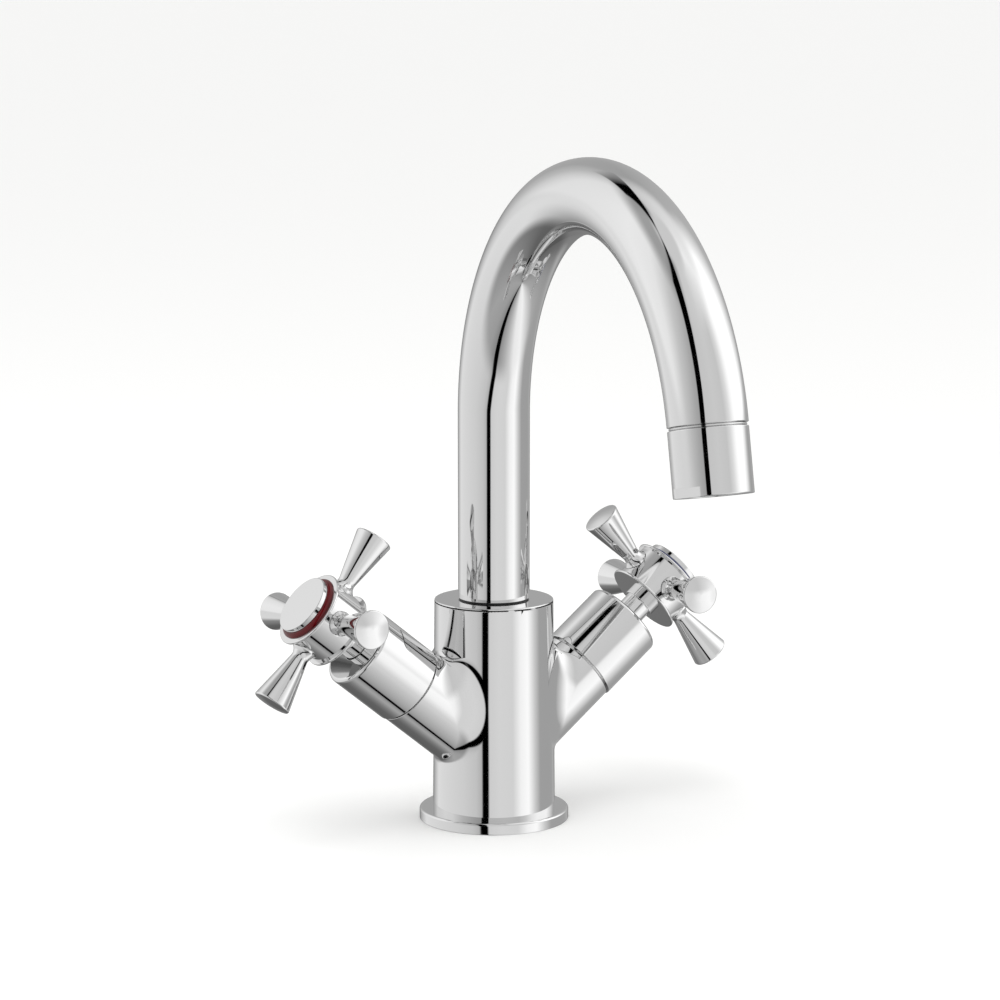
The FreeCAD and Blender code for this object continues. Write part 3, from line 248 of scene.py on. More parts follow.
class Shell:
    """The faces of one closed piece, each corner with its own surface normal."""

    def __init__(self):
        self.corners = []
        self.normals = []

    def add(self, corners, normals):
        """Add four-cornered faces, wound so that they face along their normals."""
        corners = np.asarray(corners, float).reshape(-1, 4, 3)
        normals = np.asarray(normals, float).reshape(-1, 4, 3)
        first = corners[:, 2] - corners[:, 0]
        second = corners[:, 3] - corners[:, 1]
        inward = np.einsum("ij,ij->i", np.cross(first, second), normals.sum(1)) < 0
        corners[inward] = corners[inward, ::-1]
        normals[inward] = normals[inward, ::-1]
        self.corners.append(corners)
        self.normals.append(normals)

    def add_grid(self, points, normals):
        """Add the cells of a grid of points."""
        self.add(cells(points), cells(normals))

    def make(self, name, material):
        """Weld the corners that meet and return the piece's object."""
        corners = np.concatenate(self.corners).reshape(-1, 3)
        normals = np.concatenate(self.normals).reshape(-1, 3)
        normals = normals / np.linalg.norm(normals, axis=1, keepdims=True)
        _, places, numbers = np.unique(np.round(corners, 4), axis=0, return_index=True,
                                       return_inverse=True)
        faces, corner_normals = [], []
        for start, face in enumerate(numbers.reshape(-1, 4).tolist()):
            kept = [corner for corner in range(4) if face[corner] != face[corner - 1]]
            if len(kept) > 2:
                faces.append([face[corner] for corner in kept])
                corner_normals += [normals[start * 4 + corner] for corner in kept]
        mesh = bpy.data.meshes.new(name)
        mesh.from_pydata((corners[places] * MM).tolist(), [], faces)
        mesh.polygons.foreach_set("use_smooth", [True] * len(faces))
        mesh.normals_split_custom_set(corner_normals)
        mesh.materials.append(material)
        piece = bpy.data.objects.new(name, mesh)
        bpy.context.collection.objects.link(piece)
        return piece


def cells(grid):
    """The four corners of each cell of a grid."""
    grid = np.asarray(grid, float)
    return np.stack([grid[:-1, :-1], grid[1:, :-1], grid[1:, 1:], grid[:-1, 1:]], axis=2)


def arc_between(start, end, radius):
    """Points inside the arc from start to end; a positive radius bulges to the right."""
    start, end = Vector(start), Vector(end)
    chord = end - start
    half = chord.length / 2
    toward_middle = Vector((-chord.y, chord.x)).normalized() * math.copysign(1, radius)
    centre = (start + end) / 2 + toward_middle * math.sqrt(radius * radius - half * half)
    sweep_angle = 2 * math.asin(half / abs(radius))
    parts = max(4, math.ceil(sweep_angle / ARC_STEP))
    arm = start - centre
    points = []
    for number in range(1, parts):
        turn = Matrix.Rotation(math.copysign(sweep_angle * number / parts, radius), 2)
        points.append(tuple(centre + turn @ arm))
    return points


def round_section(corners, closed=True):
    """Points of a lathe section; a corner's third number is the radius of its rounding."""
    points = []
    count = len(corners)
    for number, corner in enumerate(corners):
        here = Vector(corner[:2])
        if len(corner) < 3 or not (closed or 0 < number < count - 1):
            points.append(tuple(here))
            continue
        before = (here - Vector(corners[number - 1][:2])).normalized()
        after = (Vector(corners[(number + 1) % count][:2]) - here).normalized()
        turn = math.atan2(before.cross(after), before.dot(after))
        run_in = corner[2] * math.tan(abs(turn) / 2)
        start, end = here - before * run_in, here + after * run_in
        points.append(tuple(start))
        points += arc_between(start, end, math.copysign(corner[2], turn))
        points.append(tuple(end))
    return points


def section_normals(points, closed=True):
    """The normals at both ends of each line of a section, shared where it runs on smoothly."""
    points = np.asarray(points, float)
    lines = (np.roll(points, -1, axis=0) - points)[:len(points) if closed else -1]
    lengths = np.linalg.norm(lines, axis=1)
    facing_out = np.stack([lines[:, 1], -lines[:, 0]], axis=1) / lengths[:, None]
    ends = []
    for number, own in enumerate(facing_out):
        pair = []
        for step in (-1, 1):
            other = (number + step) % len(facing_out)
            if not closed and not 0 <= number + step < len(facing_out):
                pair.append(own)
            elif own @ facing_out[other] < math.cos(CREASE):
                pair.append(own)
            else:
                mixed = own * lengths[number] + facing_out[other] * lengths[other]
                pair.append(mixed / np.linalg.norm(mixed))
        ends.append(pair)
    return ends


def round_angles(parts=ROUND_PARTS):
    return np.linspace(0, FULL_TURN, parts + 1)


def turn_section(shell, corners, place=Matrix(), closed=True, angles=None):
    """Turn a section of (radius, height) corners about the place's Z axis."""
    points = round_section(corners, closed)
    angles = round_angles() if angles is None else np.asarray(angles)
    compass = np.stack([np.cos(angles), np.sin(angles)], axis=1)
    matrix = np.array(place)
    for number, ends in enumerate(section_normals(points, closed)):
        rows, row_normals = [], []
        for (radius, level), (outward, upward) in zip(
                (points[number], points[(number + 1) % len(points)]), ends):
            rows.append(np.column_stack([compass * radius, np.full(len(angles), level)]))
            row_normals.append(np.column_stack([compass * outward, np.full(len(angles), upward)]))
        rows = np.array(rows) @ matrix[:3, :3].T + matrix[:3, 3]
        shell.add_grid(rows, np.array(row_normals) @ matrix[:3, :3].T)


def new_finish(name):
    """A new material, its tree, its shader and its object coordinates."""
    material = bpy.data.materials.new(name)
    material.use_nodes = True
    tree = material.node_tree
    shader = tree.nodes["Principled BSDF"]
    place = add_node(tree, "ShaderNodeTexCoord", {}, {}).outputs["Object"]
    return material, tree, shader, place


def noise(tree, place, size, detail, **inputs):
    """Noise whose features have one size in millimetres."""
    return add_node(tree, "ShaderNodeTexNoise", {}, {"Vector": place, "Scale": 1 / (size * MM),
                                                     "Detail": detail, **inputs}).outputs[0]


def tint(tree, shader, share, first, second):
    """Let the colour wander between two tones."""
    tone = add_node(tree, "ShaderNodeMix", {"data_type": "RGBA"},
                    {0: share, 6: linear(first), 7: linear(second)})
    tree.links.new(tone.outputs[2], shader.inputs["Base Color"])


def fit(piece, body, slot, *nodes):
    """Let a piece ride on its body and hide the CAD nodes that it stands for."""
    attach(piece, body)
    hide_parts(*nodes)


def repaint(material, *names):
    """Give carried-over CAD nodes a finish."""
    for name in names:
        for material_slot in frame["nodes"][name].material_slots:
            material_slot.material = material


def bright_chrome():
    """Decorative chromium plate over bright nickel on polished brass.

    It mirrors the room almost unblurred. Buffing leaves a barely wavy surface, and wiping
    leaves faint marks that only spread the reflections a little.
    """
    smear_width = 14.0
    wave_width = 9.0
    material, tree, shader, place = new_finish("bright_chrome_plate_on_brass")
    shader.inputs["Base Color"].default_value = linear("#DEDEDE")
    shader.inputs["Metallic"].default_value = 1.0
    smears = noise(tree, place, smear_width, 4.0, Roughness=0.6)
    spread = add_node(tree, "ShaderNodeMapRange", {},
                      {"Value": smears, "From Min": 0.35, "From Max": 0.75,
                       "To Min": 0.025, "To Max": 0.075})
    tree.links.new(spread.outputs[0], shader.inputs["Roughness"])
    waves = noise(tree, place, wave_width, 1.0)
    bump = add_node(tree, "ShaderNodeBump", {},
                    {"Height": waves, "Distance": 0.01 * MM, "Strength": 0.5})
    tree.links.new(bump.outputs[0], shader.inputs["Normal"])
    return material


def black_rubber():
    """Moulded EPDM rubber: matt black, with a fine bloom."""
    bloom_width = 1.5
    material, tree, shader, place = new_finish("moulded_epdm_rubber")
    bloom = noise(tree, place, bloom_width, 3.0)
    tint(tree, shader, bloom, "#121212", "#242423")
    shader.inputs["Roughness"].default_value = 0.75
    return material


chrome = bright_chrome()
rubber = black_rubber()

base_ring = Shell()
turn_section(base_ring, [
    (21.1, 0.0), (23.5, 0.0), (23.5, 1.5), (27.5, 1.5), (27.5, 0.0), (29.4, 0.0, 0.25),
    (29.4, 4.5, 1.0), (21.1, 4.5, 0.2)])
fit(base_ring.make("turned_base_ring", chrome), "faucet_body", "chrome", "base_ring")
repaint(rubber, "base_gasket")

# ----------------------------------------------------------------------- body casting
# The hollow brass body: a slightly tapered column with two short arms that slope up and out,
# cast in one piece, ground smooth where they meet, polished and chrome plated.
COLUMN_FOOT = 24.1
COLUMN_TOP = 23.3
SHOULDER = 4.5
COLUMN_HEIGHT = 88.0
TOP_EDGE = 0.6
ARM_RADIUS = 15.5
ARM_END = 48.7
ARM_SLOPE = math.radians(39)
ROOT_BLEND = 3.6
CROTCH_BLEND = 2.0
SIDE_BLEND = 22.0
ARM_EDGE = 0.3
NOSE_RADIUS = 13.0
NOSE_END = 54.0
POCKET_RADIUS = 9.2
POCKET_FLOOR = 22.0
SOCKET_RADIUS = 12.0
SOCKET_FLOOR = 62.0
CHAMBER_RADIUS = 8.0
CHAMBER_FLOOR = 47.0
ARM_PARTS = 160
BLEND_ROWS = 12
WALL_ROWS = 22
FOOT_RADIUS = 21.0
SIDES = {"hot": -1, "cold": 1}
joints = {joint["name"]: joint for joint in frame["joints"]}
arm_root = joints["cold_turn"]["pos_m"][2] / MM

arm_axis = np.array([math.cos(ARM_SLOPE), 0, math.sin(ARM_SLOPE)])
arm_top = np.array([-math.sin(ARM_SLOPE), 0, math.cos(ARM_SLOPE)])
taper = (COLUMN_FOOT - COLUMN_TOP) / (COLUMN_HEIGHT - TOP_EDGE - SHOULDER)
mirror = np.array([-1, 1, 1])


def arm_place(side, turn=0.0):
    """From a frame whose Z is the arm's axis to the tap's frame."""
    lean = Matrix.Rotation(SIDES[side] * (math.pi / 2 - ARM_SLOPE), 4, "Y")
    return Matrix.Translation((0, 0, arm_root)) @ lean @ Matrix.Rotation(turn, 4, "Z")


def column_radius(level):
    return COLUMN_FOOT - taper * (level - SHOULDER)


def column_points(sheet):
    """Points and normals on the column from (angle, height)."""
    turn, level = sheet[..., 0], sheet[..., 1]
    radius = column_radius(level)
    points = np.stack([radius * np.cos(turn), radius * np.sin(turn), level], axis=-1)
    normals = np.stack([np.cos(turn), np.sin(turn), np.full(turn.shape, taper)], axis=-1)
    return points, normals


def hole_to_rectangle(hole, low, high, rows):
    """A grid of rings from the rim of a hole out to the rectangle around it."""
    centre = hole[:-1].mean(axis=0)
    rays = hole - centre
    limits = np.where(rays > 0, np.array(high) - centre, np.array(low) - centre)
    with np.errstate(divide="ignore"):
        reach = np.min(limits / np.where(rays == 0, 1e-12, rays), axis=1)
    rim = centre + rays * reach[:, None]
    for corner in ((low[0], low[1]), (low[0], high[1]), (high[0], low[1]), (high[0], high[1])):
        nearest = np.argmin(np.linalg.norm(rim[:-1] - corner, axis=1))
        rim[nearest] = corner
    rim[-1] = rim[0]
    share = np.linspace(0, 1, rows + 1)[:, None, None]
    return hole * (1 - share) + rim * share


def arm_blend_rings():
    """Where a ball rolled around the arm's root touches the column, the arm and between."""
    angles = np.linspace(0, FULL_TURN, ARM_PARTS + 1)
    outward = np.cos(angles)[:, None] * arm_top + np.sin(angles)[:, None] * np.array([0, 1, 0])
    near_top = ((1 + np.cos(angles)) / 2) ** 3
    ball = ROOT_BLEND - (ROOT_BLEND - CROTCH_BLEND) * near_top
    ball = ball + (SIDE_BLEND - ball) * np.sin(angles) ** 4
    offset = outward * (ARM_RADIUS + ball)[:, None]
    along = np.full(len(angles), 35.0)
    for _ in range(12):
        level = arm_root + along * arm_axis[2] + offset[:, 2]
        reach = np.sqrt((column_radius(level) + ball) ** 2 - offset[:, 1] ** 2)
        along = (reach - offset[:, 0]) / arm_axis[0]
    centre = np.array([0, 0, arm_root]) + along[:, None] * arm_axis + offset
    on_column = np.column_stack([centre[:, :2], taper * np.linalg.norm(centre[:, :2], axis=1)])
    on_column /= np.linalg.norm(on_column, axis=1, keepdims=True)
    opening = np.arccos(np.clip((on_column * outward).sum(axis=1), -1, 1))
    rings, ring_normals = [], []
    for share in np.linspace(0, 1, BLEND_ROWS + 1):
        normal = (on_column * np.sin((1 - share) * opening)[:, None]
                  + outward * np.sin(share * opening)[:, None]) / np.sin(opening)[:, None]
        rings.append(centre - normal * ball[:, None])
        ring_normals.append(normal)
    return angles, along, outward, np.array(rings), np.array(ring_normals)


angles, along, outward, rings, ring_normals = arm_blend_rings()
casting = Shell()
hole = np.column_stack([np.arctan2(rings[0, :, 1], rings[0, :, 0]), rings[0, :, 2]])
sheet = hole_to_rectangle(hole, (-math.pi / 2, SHOULDER),
                          (math.pi / 2, COLUMN_HEIGHT - TOP_EDGE), WALL_ROWS)
wall_points, wall_normals = column_points(sheet)
wall_points[0] = rings[0]
straight = np.array([np.array([0, 0, arm_root]) + outward * ARM_RADIUS
                     + (along + (ARM_END - ARM_EDGE - along) * share)[:, None] * arm_axis
                     for share in (0, 0.34, 0.67, 1)])
straight_normals = np.repeat(outward[None], 4, axis=0)
arm_section = [(ARM_RADIUS, ARM_END - ARM_EDGE), (ARM_RADIUS, ARM_END, 0.25),
               (NOSE_RADIUS, ARM_END), (NOSE_RADIUS, NOSE_END), (POCKET_RADIUS, NOSE_END),
               (POCKET_RADIUS, POCKET_FLOOR), (0.0, POCKET_FLOOR)]
for side, flip in (("cold", np.ones(3)), ("hot", mirror)):
    casting.add_grid(wall_points * flip, wall_normals * flip)
    casting.add_grid(rings * flip, ring_normals * flip)
    casting.add_grid(straight * flip, straight_normals * flip)
    turned_angles = math.pi - angles if side == "cold" else angles
    turn_section(casting, arm_section, arm_place(side), False, turned_angles)


def rim_angles(level):
    """The column's angles at a level of its side, both halves."""
    turns = sheet[-1][np.abs(sheet[-1][:, 1] - level) < 1e-9][:, 0]
    both = np.concatenate([turns, math.pi - turns])
    both = np.unique(np.round(np.mod(both, FULL_TURN), 9))
    return np.append(both, both[0] + FULL_TURN)


crown_angles = rim_angles(COLUMN_HEIGHT - TOP_EDGE)
turn_section(casting, [
    (COLUMN_TOP, COLUMN_HEIGHT - TOP_EDGE), (COLUMN_TOP, COLUMN_HEIGHT, TOP_EDGE),
    (SOCKET_RADIUS, COLUMN_HEIGHT), (SOCKET_RADIUS, SOCKET_FLOOR),
    (CHAMBER_RADIUS, SOCKET_FLOOR), (CHAMBER_RADIUS, CHAMBER_FLOOR), (0.0, CHAMBER_FLOOR)],
    closed=False, angles=crown_angles)
foot_angles = rim_angles(SHOULDER)
turn_section(casting, [(FOOT_RADIUS, 0.0), (FOOT_RADIUS, SHOULDER), (COLUMN_FOOT, SHOULDER)],
             closed=False, angles=foot_angles)

# the underside, with the two tapped water inlets and the tapped hole for the fixing stud
TAPPED_HOLES = [(-11.0, 0.0, 4.5, 12.0), (11.0, 0.0, 4.5, 12.0), (0.0, 13.5, 3.4, 15.0)]
outlines = [[(FOOT_RADIUS * math.cos(turn), FOOT_RADIUS * math.sin(turn))
             for turn in foot_angles[:-1]]]
for across, behind, radius, depth in TAPPED_HOLES:
    outlines.append([(across + radius * math.cos(turn), behind + radius * math.sin(turn))
                     for turn in round_angles(48)[:-1]])
    turn_section(casting, [(0.0, depth), (radius, depth), (radius, 0.0)],
                 Matrix.Translation((across, behind, 0)), False, round_angles(48))
flat_points = [Vector(point) for outline in outlines for point in outline]
flat_faces = []
first = 0
for outline in outlines:
    flat_faces.append(list(range(first, first + len(outline))))
    first += len(outline)
solved = delaunay_2d_cdt(flat_points, [], flat_faces, 0, 1e-6)
for face, sources in zip(solved[2], solved[4]):
    if list(sources) == [0]:
        corners = [(solved[0][corner].x, solved[0][corner].y, 0) for corner in (*face, face[-1])]
        casting.add([corners], [[(0, 0, -1)] * 4])
fit(casting.make("cast_mixer_body", chrome), "faucet_body", "chrome", "mixer_body")


# ----------------------------------------------------------------------------- valves
# Quarter-turn headworks, out of sight in the arms: a turned brass bonnet and spindle, two
# lapped ceramic discs, rubber seals and a spring-steel circlip.
def turned_brass():
    """Free-cutting brass as it comes off the lathe: warm, with fine tool lines."""
    tool_pitch = 0.4
    material, tree, shader, place = new_finish("turned_cz121_brass")
    lines = noise(tree, place, tool_pitch, 2.0)
    tint(tree, shader, lines, "#B8934E", "#D3B06A")
    shader.inputs["Metallic"].default_value = 1.0
    shader.inputs["Roughness"].default_value = 0.28
    bump = add_node(tree, "ShaderNodeBump", {},
                    {"Height": lines, "Distance": 0.01 * MM, "Strength": 0.4})
    tree.links.new(bump.outputs[0], shader.inputs["Normal"])
    return material


def lapped_ceramic():
    """Sintered alumina, lapped flat: off-white, dense, with a soft gloss."""
    grain = 0.6
    material, tree, shader, place = new_finish("lapped_alumina_ceramic")
    speckle = noise(tree, place, grain, 3.0)
    tint(tree, shader, speckle, "#E6E3DA", "#F5F3EC")
    shader.inputs["Roughness"].default_value = 0.22
    shader.inputs["IOR"].default_value = 1.76
    return material


def spring_steel():
    """Rolled and blanked stainless steel: grey, with a grain from the rolls."""
    grain = 0.5
    material, tree, shader, place = new_finish("rolled_stainless_spring_steel")
    shader.inputs["Base Color"].default_value = linear("#C2C3C4")
    shader.inputs["Metallic"].default_value = 1.0
    rolled = noise(tree, place, grain, 3.0)
    spread = add_node(tree, "ShaderNodeMapRange", {},
                      {"Value": rolled, "To Min": 0.25, "To Max": 0.42})
    tree.links.new(spread.outputs[0], shader.inputs["Roughness"])
    return material


brass = turned_brass()
ceramic = lapped_ceramic()
steel = spring_steel()
for side in SIDES:
    repaint(brass, f"{side}_bonnet", f"{side}_spindle")
    repaint(ceramic, f"{side}_fixed_disc", f"{side}_turning_disc")
    repaint(rubber, f"{side}_bonnet_seal", f"{side}_seat_washer", f"{side}_spindle_seals")
    repaint(steel, f"{side}_circlip", f"{side}_handle_screw")

# ---------------------------------------------------------------------------- sleeves
# A turned and plated brass cup over each valve, screwed on the arm's nose. A narrow dark
# groove is left between the cup and the arm, and the handle's stem passes its end wall.
for side in SIDES:
    sleeve = Shell()
    turn_section(sleeve, [
        (13.1, 49.5), (16.0, 49.5, 0.25), (16.0, 76.8, 1.6), (6.1, 76.8, 0.2), (6.1, 74.3),
        (13.1, 74.3)], arm_place(side))
    fit(sleeve.make(f"{side}_valve_sleeve", chrome), "faucet_body", "chrome", f"{side}_sleeve")

# ------------------------------------------------------------------------ handle hubs
# Each handle's hub is turned from brass bar: a stem with a small ring, and a drum between
# two thin flanges, with four round seats milled in the drum for the spokes. Chrome plated.
HUB_START = 87.2
HUB_FACE = 103.2
FLANGE = 1.1
DRUM_RADIUS = 14.2
SPOKE_LEVEL = 95.2
SEAT_RADIUS = 5.0
SEAT_REACH = 13.2
SEAT_PARTS = 96
SPOKES = 4
HANDLE_TURN = {"hot": math.radians(5.5), "cold": math.radians(-5.5)}

seat_turns = round_angles(SEAT_PARTS)
seat_sideways = SEAT_RADIUS * np.cos(seat_turns)
seat_upward = SEAT_RADIUS * np.sin(seat_turns)
drum_hole = np.column_stack([np.arcsin(seat_sideways / DRUM_RADIUS), SPOKE_LEVEL + seat_upward])
quarter = math.pi / SPOKES
drum_sheet = hole_to_rectangle(drum_hole, (-quarter, HUB_START + FLANGE),
                               (quarter, HUB_FACE - FLANGE), 12)
rim_turns = drum_sheet[-1][np.abs(drum_sheet[-1][:, 1] - HUB_START - FLANGE) < 1e-9][:, 0]
hub_angles = np.concatenate([rim_turns + quarter * 2 * number for number in range(SPOKES)])
hub_angles = np.unique(np.round(np.mod(hub_angles, FULL_TURN), 9))
hub_angles = np.append(hub_angles, hub_angles[0] + FULL_TURN)
seat_section = [(SEAT_RADIUS, SEAT_REACH), (2.5, SEAT_REACH), (2.5, 9.8), (0.0, 9.8)]


def transform(grid, matrix, with_place=True):
    matrix = np.array(matrix)
    turned = np.asarray(grid) @ matrix[:3, :3].T
    return turned + matrix[:3, 3] if with_place else turned


for side in SIDES:
    place = arm_place(side, HANDLE_TURN[side])
    hub = Shell()
    turn_section(hub, [
        (DRUM_RADIUS, HUB_START + FLANGE), (15.6, HUB_START + FLANGE, 0.45),
        (15.6, HUB_START, 0.45), (6.6, HUB_START), (6.6, 84.6, 0.3), (5.7, 84.6), (5.7, 73.4),
        (4.05, 73.4), (4.05, 92.5), (2.2, 92.5), (2.2, 97.0), (9.1, 97.0), (9.1, HUB_FACE),
        (15.6, HUB_FACE, 0.45), (15.6, HUB_FACE - FLANGE, 0.45),
        (DRUM_RADIUS, HUB_FACE - FLANGE)][::-1], place, False, hub_angles)
    for number in range(SPOKES):
        quarter_place = place @ Matrix.Rotation(quarter * 2 * number, 4, "Z")
        turn, level = drum_sheet[..., 0], drum_sheet[..., 1]
        drum_points = np.stack([DRUM_RADIUS * np.cos(turn), DRUM_RADIUS * np.sin(turn), level],
                               axis=-1)
        drum_normals = np.stack([np.cos(turn), np.sin(turn), np.zeros(turn.shape)], axis=-1)
        hub.add_grid(transform(drum_points, quarter_place),
                     transform(drum_normals, quarter_place, False))
        seat_floor = np.column_stack([np.full(len(seat_turns), SEAT_REACH), seat_sideways,
                                      SPOKE_LEVEL + seat_upward])
        inward = np.column_stack([np.zeros(len(seat_turns)), -seat_sideways, -seat_upward])
        hub.add_grid(transform([drum_points[0], seat_floor], quarter_place),
                     transform([inward, inward], quarter_place, False))
        outward_axis = Matrix(((0, 0, 1, 0), (1, 0, 0, 0), (0, 1, 0, SPOKE_LEVEL), (0, 0, 0, 1)))
        turn_section(hub, seat_section, quarter_place @ outward_axis, False, seat_turns)
    fit(hub.make(f"{side}_handle_hub", chrome), f"{side}_handle", "chrome", f"{side}_hub")


# ----------------------------------------------------------------------------- spokes
# Four flared spokes screwed into each hub: turned brass with a small collar, a narrow neck,
# a long cone and a low crowned end. Chrome plated.
def new_geometry_tree(name, inputs):
    """A Geometry Nodes tree with named number inputs, and its two end nodes."""
    tree = bpy.data.node_groups.new(name, "GeometryNodeTree")
    tree.interface.new_socket("Geometry", in_out="INPUT", socket_type="NodeSocketGeometry")
    tree.interface.new_socket("Geometry", in_out="OUTPUT", socket_type="NodeSocketGeometry")
    for label, kind in inputs:
        tree.interface.new_socket(label, in_out="INPUT", socket_type=kind)
    return tree, tree.nodes.new("NodeGroupInput"), tree.nodes.new("NodeGroupOutput")


def bake(piece, tree, values, place=Matrix()):
    """Run a Geometry Nodes tree on a piece, keep the result as its mesh and put it in place."""
    modifier = piece.modifiers.new(tree.name, "NODES")
    modifier.node_group = tree
    for item in tree.interface.items_tree:
        if item.item_type == "SOCKET" and item.in_out == "INPUT" and item.name in values:
            modifier[item.identifier] = values[item.name]
    bake_modifiers(piece)
    piece.data.transform(place)


def bake_modifiers(piece):
    """Turn a piece's modifiers into its plain mesh."""
    graph = bpy.context.evaluated_depsgraph_get()
    mesh = bpy.data.meshes.new_from_object(piece.evaluated_get(graph), depsgraph=graph)
    mesh.name = piece.name
    piece.modifiers.clear()
    piece.data = mesh


def place_in_metres(place):
    """A place whose shift is in metres."""
    place = place.copy()
    place.translation *= MM
    return place


spoke_tree, spoke_input, spoke_output = new_geometry_tree("ring_of_spokes", [
    ("Spoke", "NodeSocketInt"), ("Level", "NodeSocketFloat"), ("Finish", "NodeSocketMaterial")])
spoke_points = add_node(spoke_tree, "GeometryNodePoints", {},
                        {"Count": spoke_input.outputs["Spoke"]})
spoke_number = add_node(spoke_tree, "GeometryNodeInputIndex", {}, {})
spoke_share = add_node(spoke_tree, "ShaderNodeMath", {"operation": "DIVIDE"},
                       {0: spoke_number.outputs[0], 1: spoke_input.outputs["Spoke"]})
spoke_angle = add_node(spoke_tree, "ShaderNodeMath", {"operation": "MULTIPLY"},
                       {0: spoke_share.outputs[0], 1: FULL_TURN})
spoke_turn = add_node(spoke_tree, "ShaderNodeCombineXYZ", {}, {"Z": spoke_angle.outputs[0]})
spoke_level = add_node(spoke_tree, "ShaderNodeCombineXYZ", {},
                       {"Z": spoke_input.outputs["Level"]})
spoke_lift = add_node(spoke_tree, "GeometryNodeSetPosition", {},
                      {"Geometry": spoke_points.outputs[0], "Position": spoke_level.outputs[0]})
spoke_copies = add_node(spoke_tree, "GeometryNodeInstanceOnPoints", {},
                        {"Points": spoke_lift.outputs[0],
                         "Instance": spoke_input.outputs["Geometry"],
                         "Rotation": spoke_turn.outputs[0]})
spoke_real = add_node(spoke_tree, "GeometryNodeRealizeInstances", {},
                      {"Geometry": spoke_copies.outputs[0]})
spoke_plated = add_node(spoke_tree, "GeometryNodeSetMaterial", {},
                        {"Geometry": spoke_real.outputs[0],
                         "Material": spoke_input.outputs["Finish"]})
spoke_tree.links.new(spoke_plated.outputs[0], spoke_output.inputs[0])

spoke_section = [
    (0.0, 9.9), (2.45, 9.9, 0.2), (2.45, 13.25), (4.8, 13.25, 0.12), (4.8, 14.15),
    *arc_between((4.8, 14.15), (3.4, 17.4), -4.47), (3.4, 17.4, 6.0), (7.5, 37.8, 0.6),
    *arc_between((6.9, 37.8), (0.0, 38.7), 26.9), (0.0, 38.7)]
outward_axis = Matrix(((0, 0, 1, 0), (0, 1, 0, 0), (-1, 0, 0, 0), (0, 0, 0, 1)))
for side in SIDES:
    spoke = Shell()
    turn_section(spoke, spoke_section, outward_axis, False, round_angles(96))
    piece = spoke.make(f"{side}_spokes", chrome)
    bake(piece, spoke_tree, {"Spoke": SPOKES, "Level": SPOKE_LEVEL * MM, "Finish": chrome},
         place_in_metres(arm_place(side, HANDLE_TURN[side])))
    fit(piece, f"{side}_handle", "chrome",
        *[f"{side}_spoke_{number + 1}" for number in range(SPOKES)])


# -------------------------------------------------------------------- index rings, caps
# A glossy bead, red for hot and blue for cold, lies between the hub's face and a plain
# chromed cap, which is pushed into the hub.
def index_enamel(name, shallow, deep):
    """Clear tinted acrylic over a dark seat: deep, even and very glossy."""
    cloud = 3.0
    material, tree, shader, place = new_finish(name)
    clouds = noise(tree, place, cloud, 2.0)
    tint(tree, shader, clouds, deep, shallow)
    shader.inputs["Roughness"].default_value = 0.12
    shader.inputs["IOR"].default_value = 1.40
    return material


index_finishes = {"hot": index_enamel("moulded_red_acrylic", "#5C030A", "#3C0005"),
                  "cold": index_enamel("moulded_blue_acrylic", "#061E5C", "#031340")}
for side in SIDES:
    place = arm_place(side, HANDLE_TURN[side])
    bead = Shell()
    turn_section(bead, [(9.3, 103.2), (13.4, 103.2), (13.4, 103.52),
                        *arc_between((13.4, 103.52), (12.0, 104.8), 2.4), (12.0, 104.8),
                        (9.3, 104.8)], place)
    fit(bead.make(f"{side}_index_bead", index_finishes[side]), f"{side}_handle",
        f"{side}_index", f"{side}_index_ring")
    cap = Shell()
    turn_section(cap, [(0.0, 104.8), (7.95, 104.8), (7.95, 100.2), (9.05, 100.2), (9.05, 104.8),
                       (11.9, 104.8, 0.15), (11.9, 106.8, 0.35), (0.0, 106.8)], place, False)
    fit(cap.make(f"{side}_handle_cap", chrome), f"{side}_handle", "chrome", f"{side}_cap")

# ------------------------------------------------------------------------- spout's foot
# A turned brass foot, soldered in the tube, turns in the body on two rubber rings and is
# held by a snap ring. The tube's end rides on a dark acetal slide ring.
SPOUT_TURN = math.radians(-4.3)


def dark_acetal():
    """Turned acetal homopolymer: near black, with a waxy sheen and fine tool lines."""
    tool_pitch = 0.3
    material, tree, shader, place = new_finish("turned_black_acetal")
    lines = noise(tree, place, tool_pitch, 2.0)
    spread = add_node(tree, "ShaderNodeMapRange", {},
                      {"Value": lines, "To Min": 0.34, "To Max": 0.5})
    tree.links.new(spread.outputs[0], shader.inputs["Roughness"])
    shader.inputs["Base Color"].default_value = linear("#17181A")
    shader.inputs["IOR"].default_value = 1.48
    return material


acetal = dark_acetal()
slide = Shell()
turn_section(slide, [(12.1, 88.0), (13.6, 88.0, 0.1), (13.6, 88.5, 0.1), (12.1, 88.5)])
fit(slide.make("spout_slide_washer", acetal), "faucet_body", "slide_plastic", "spout_slide_ring")
repaint(brass, "spout_foot")
repaint(rubber, "spout_seals")
repaint(steel, "spout_clip")

# ------------------------------------------------------------------------- spout tube
# Thin drawn brass tube, cut square, bent over a former in one long arc after a straight
# riser, then polished and chrome plated.
TUBE_START = 88.55
RISER_TOP = 161.0
BEND_RADIUS = 90.2
BEND_ANGLE = math.radians(168)
TUBE_RADIUS = 14.0
TUBE_WALL = 1.2

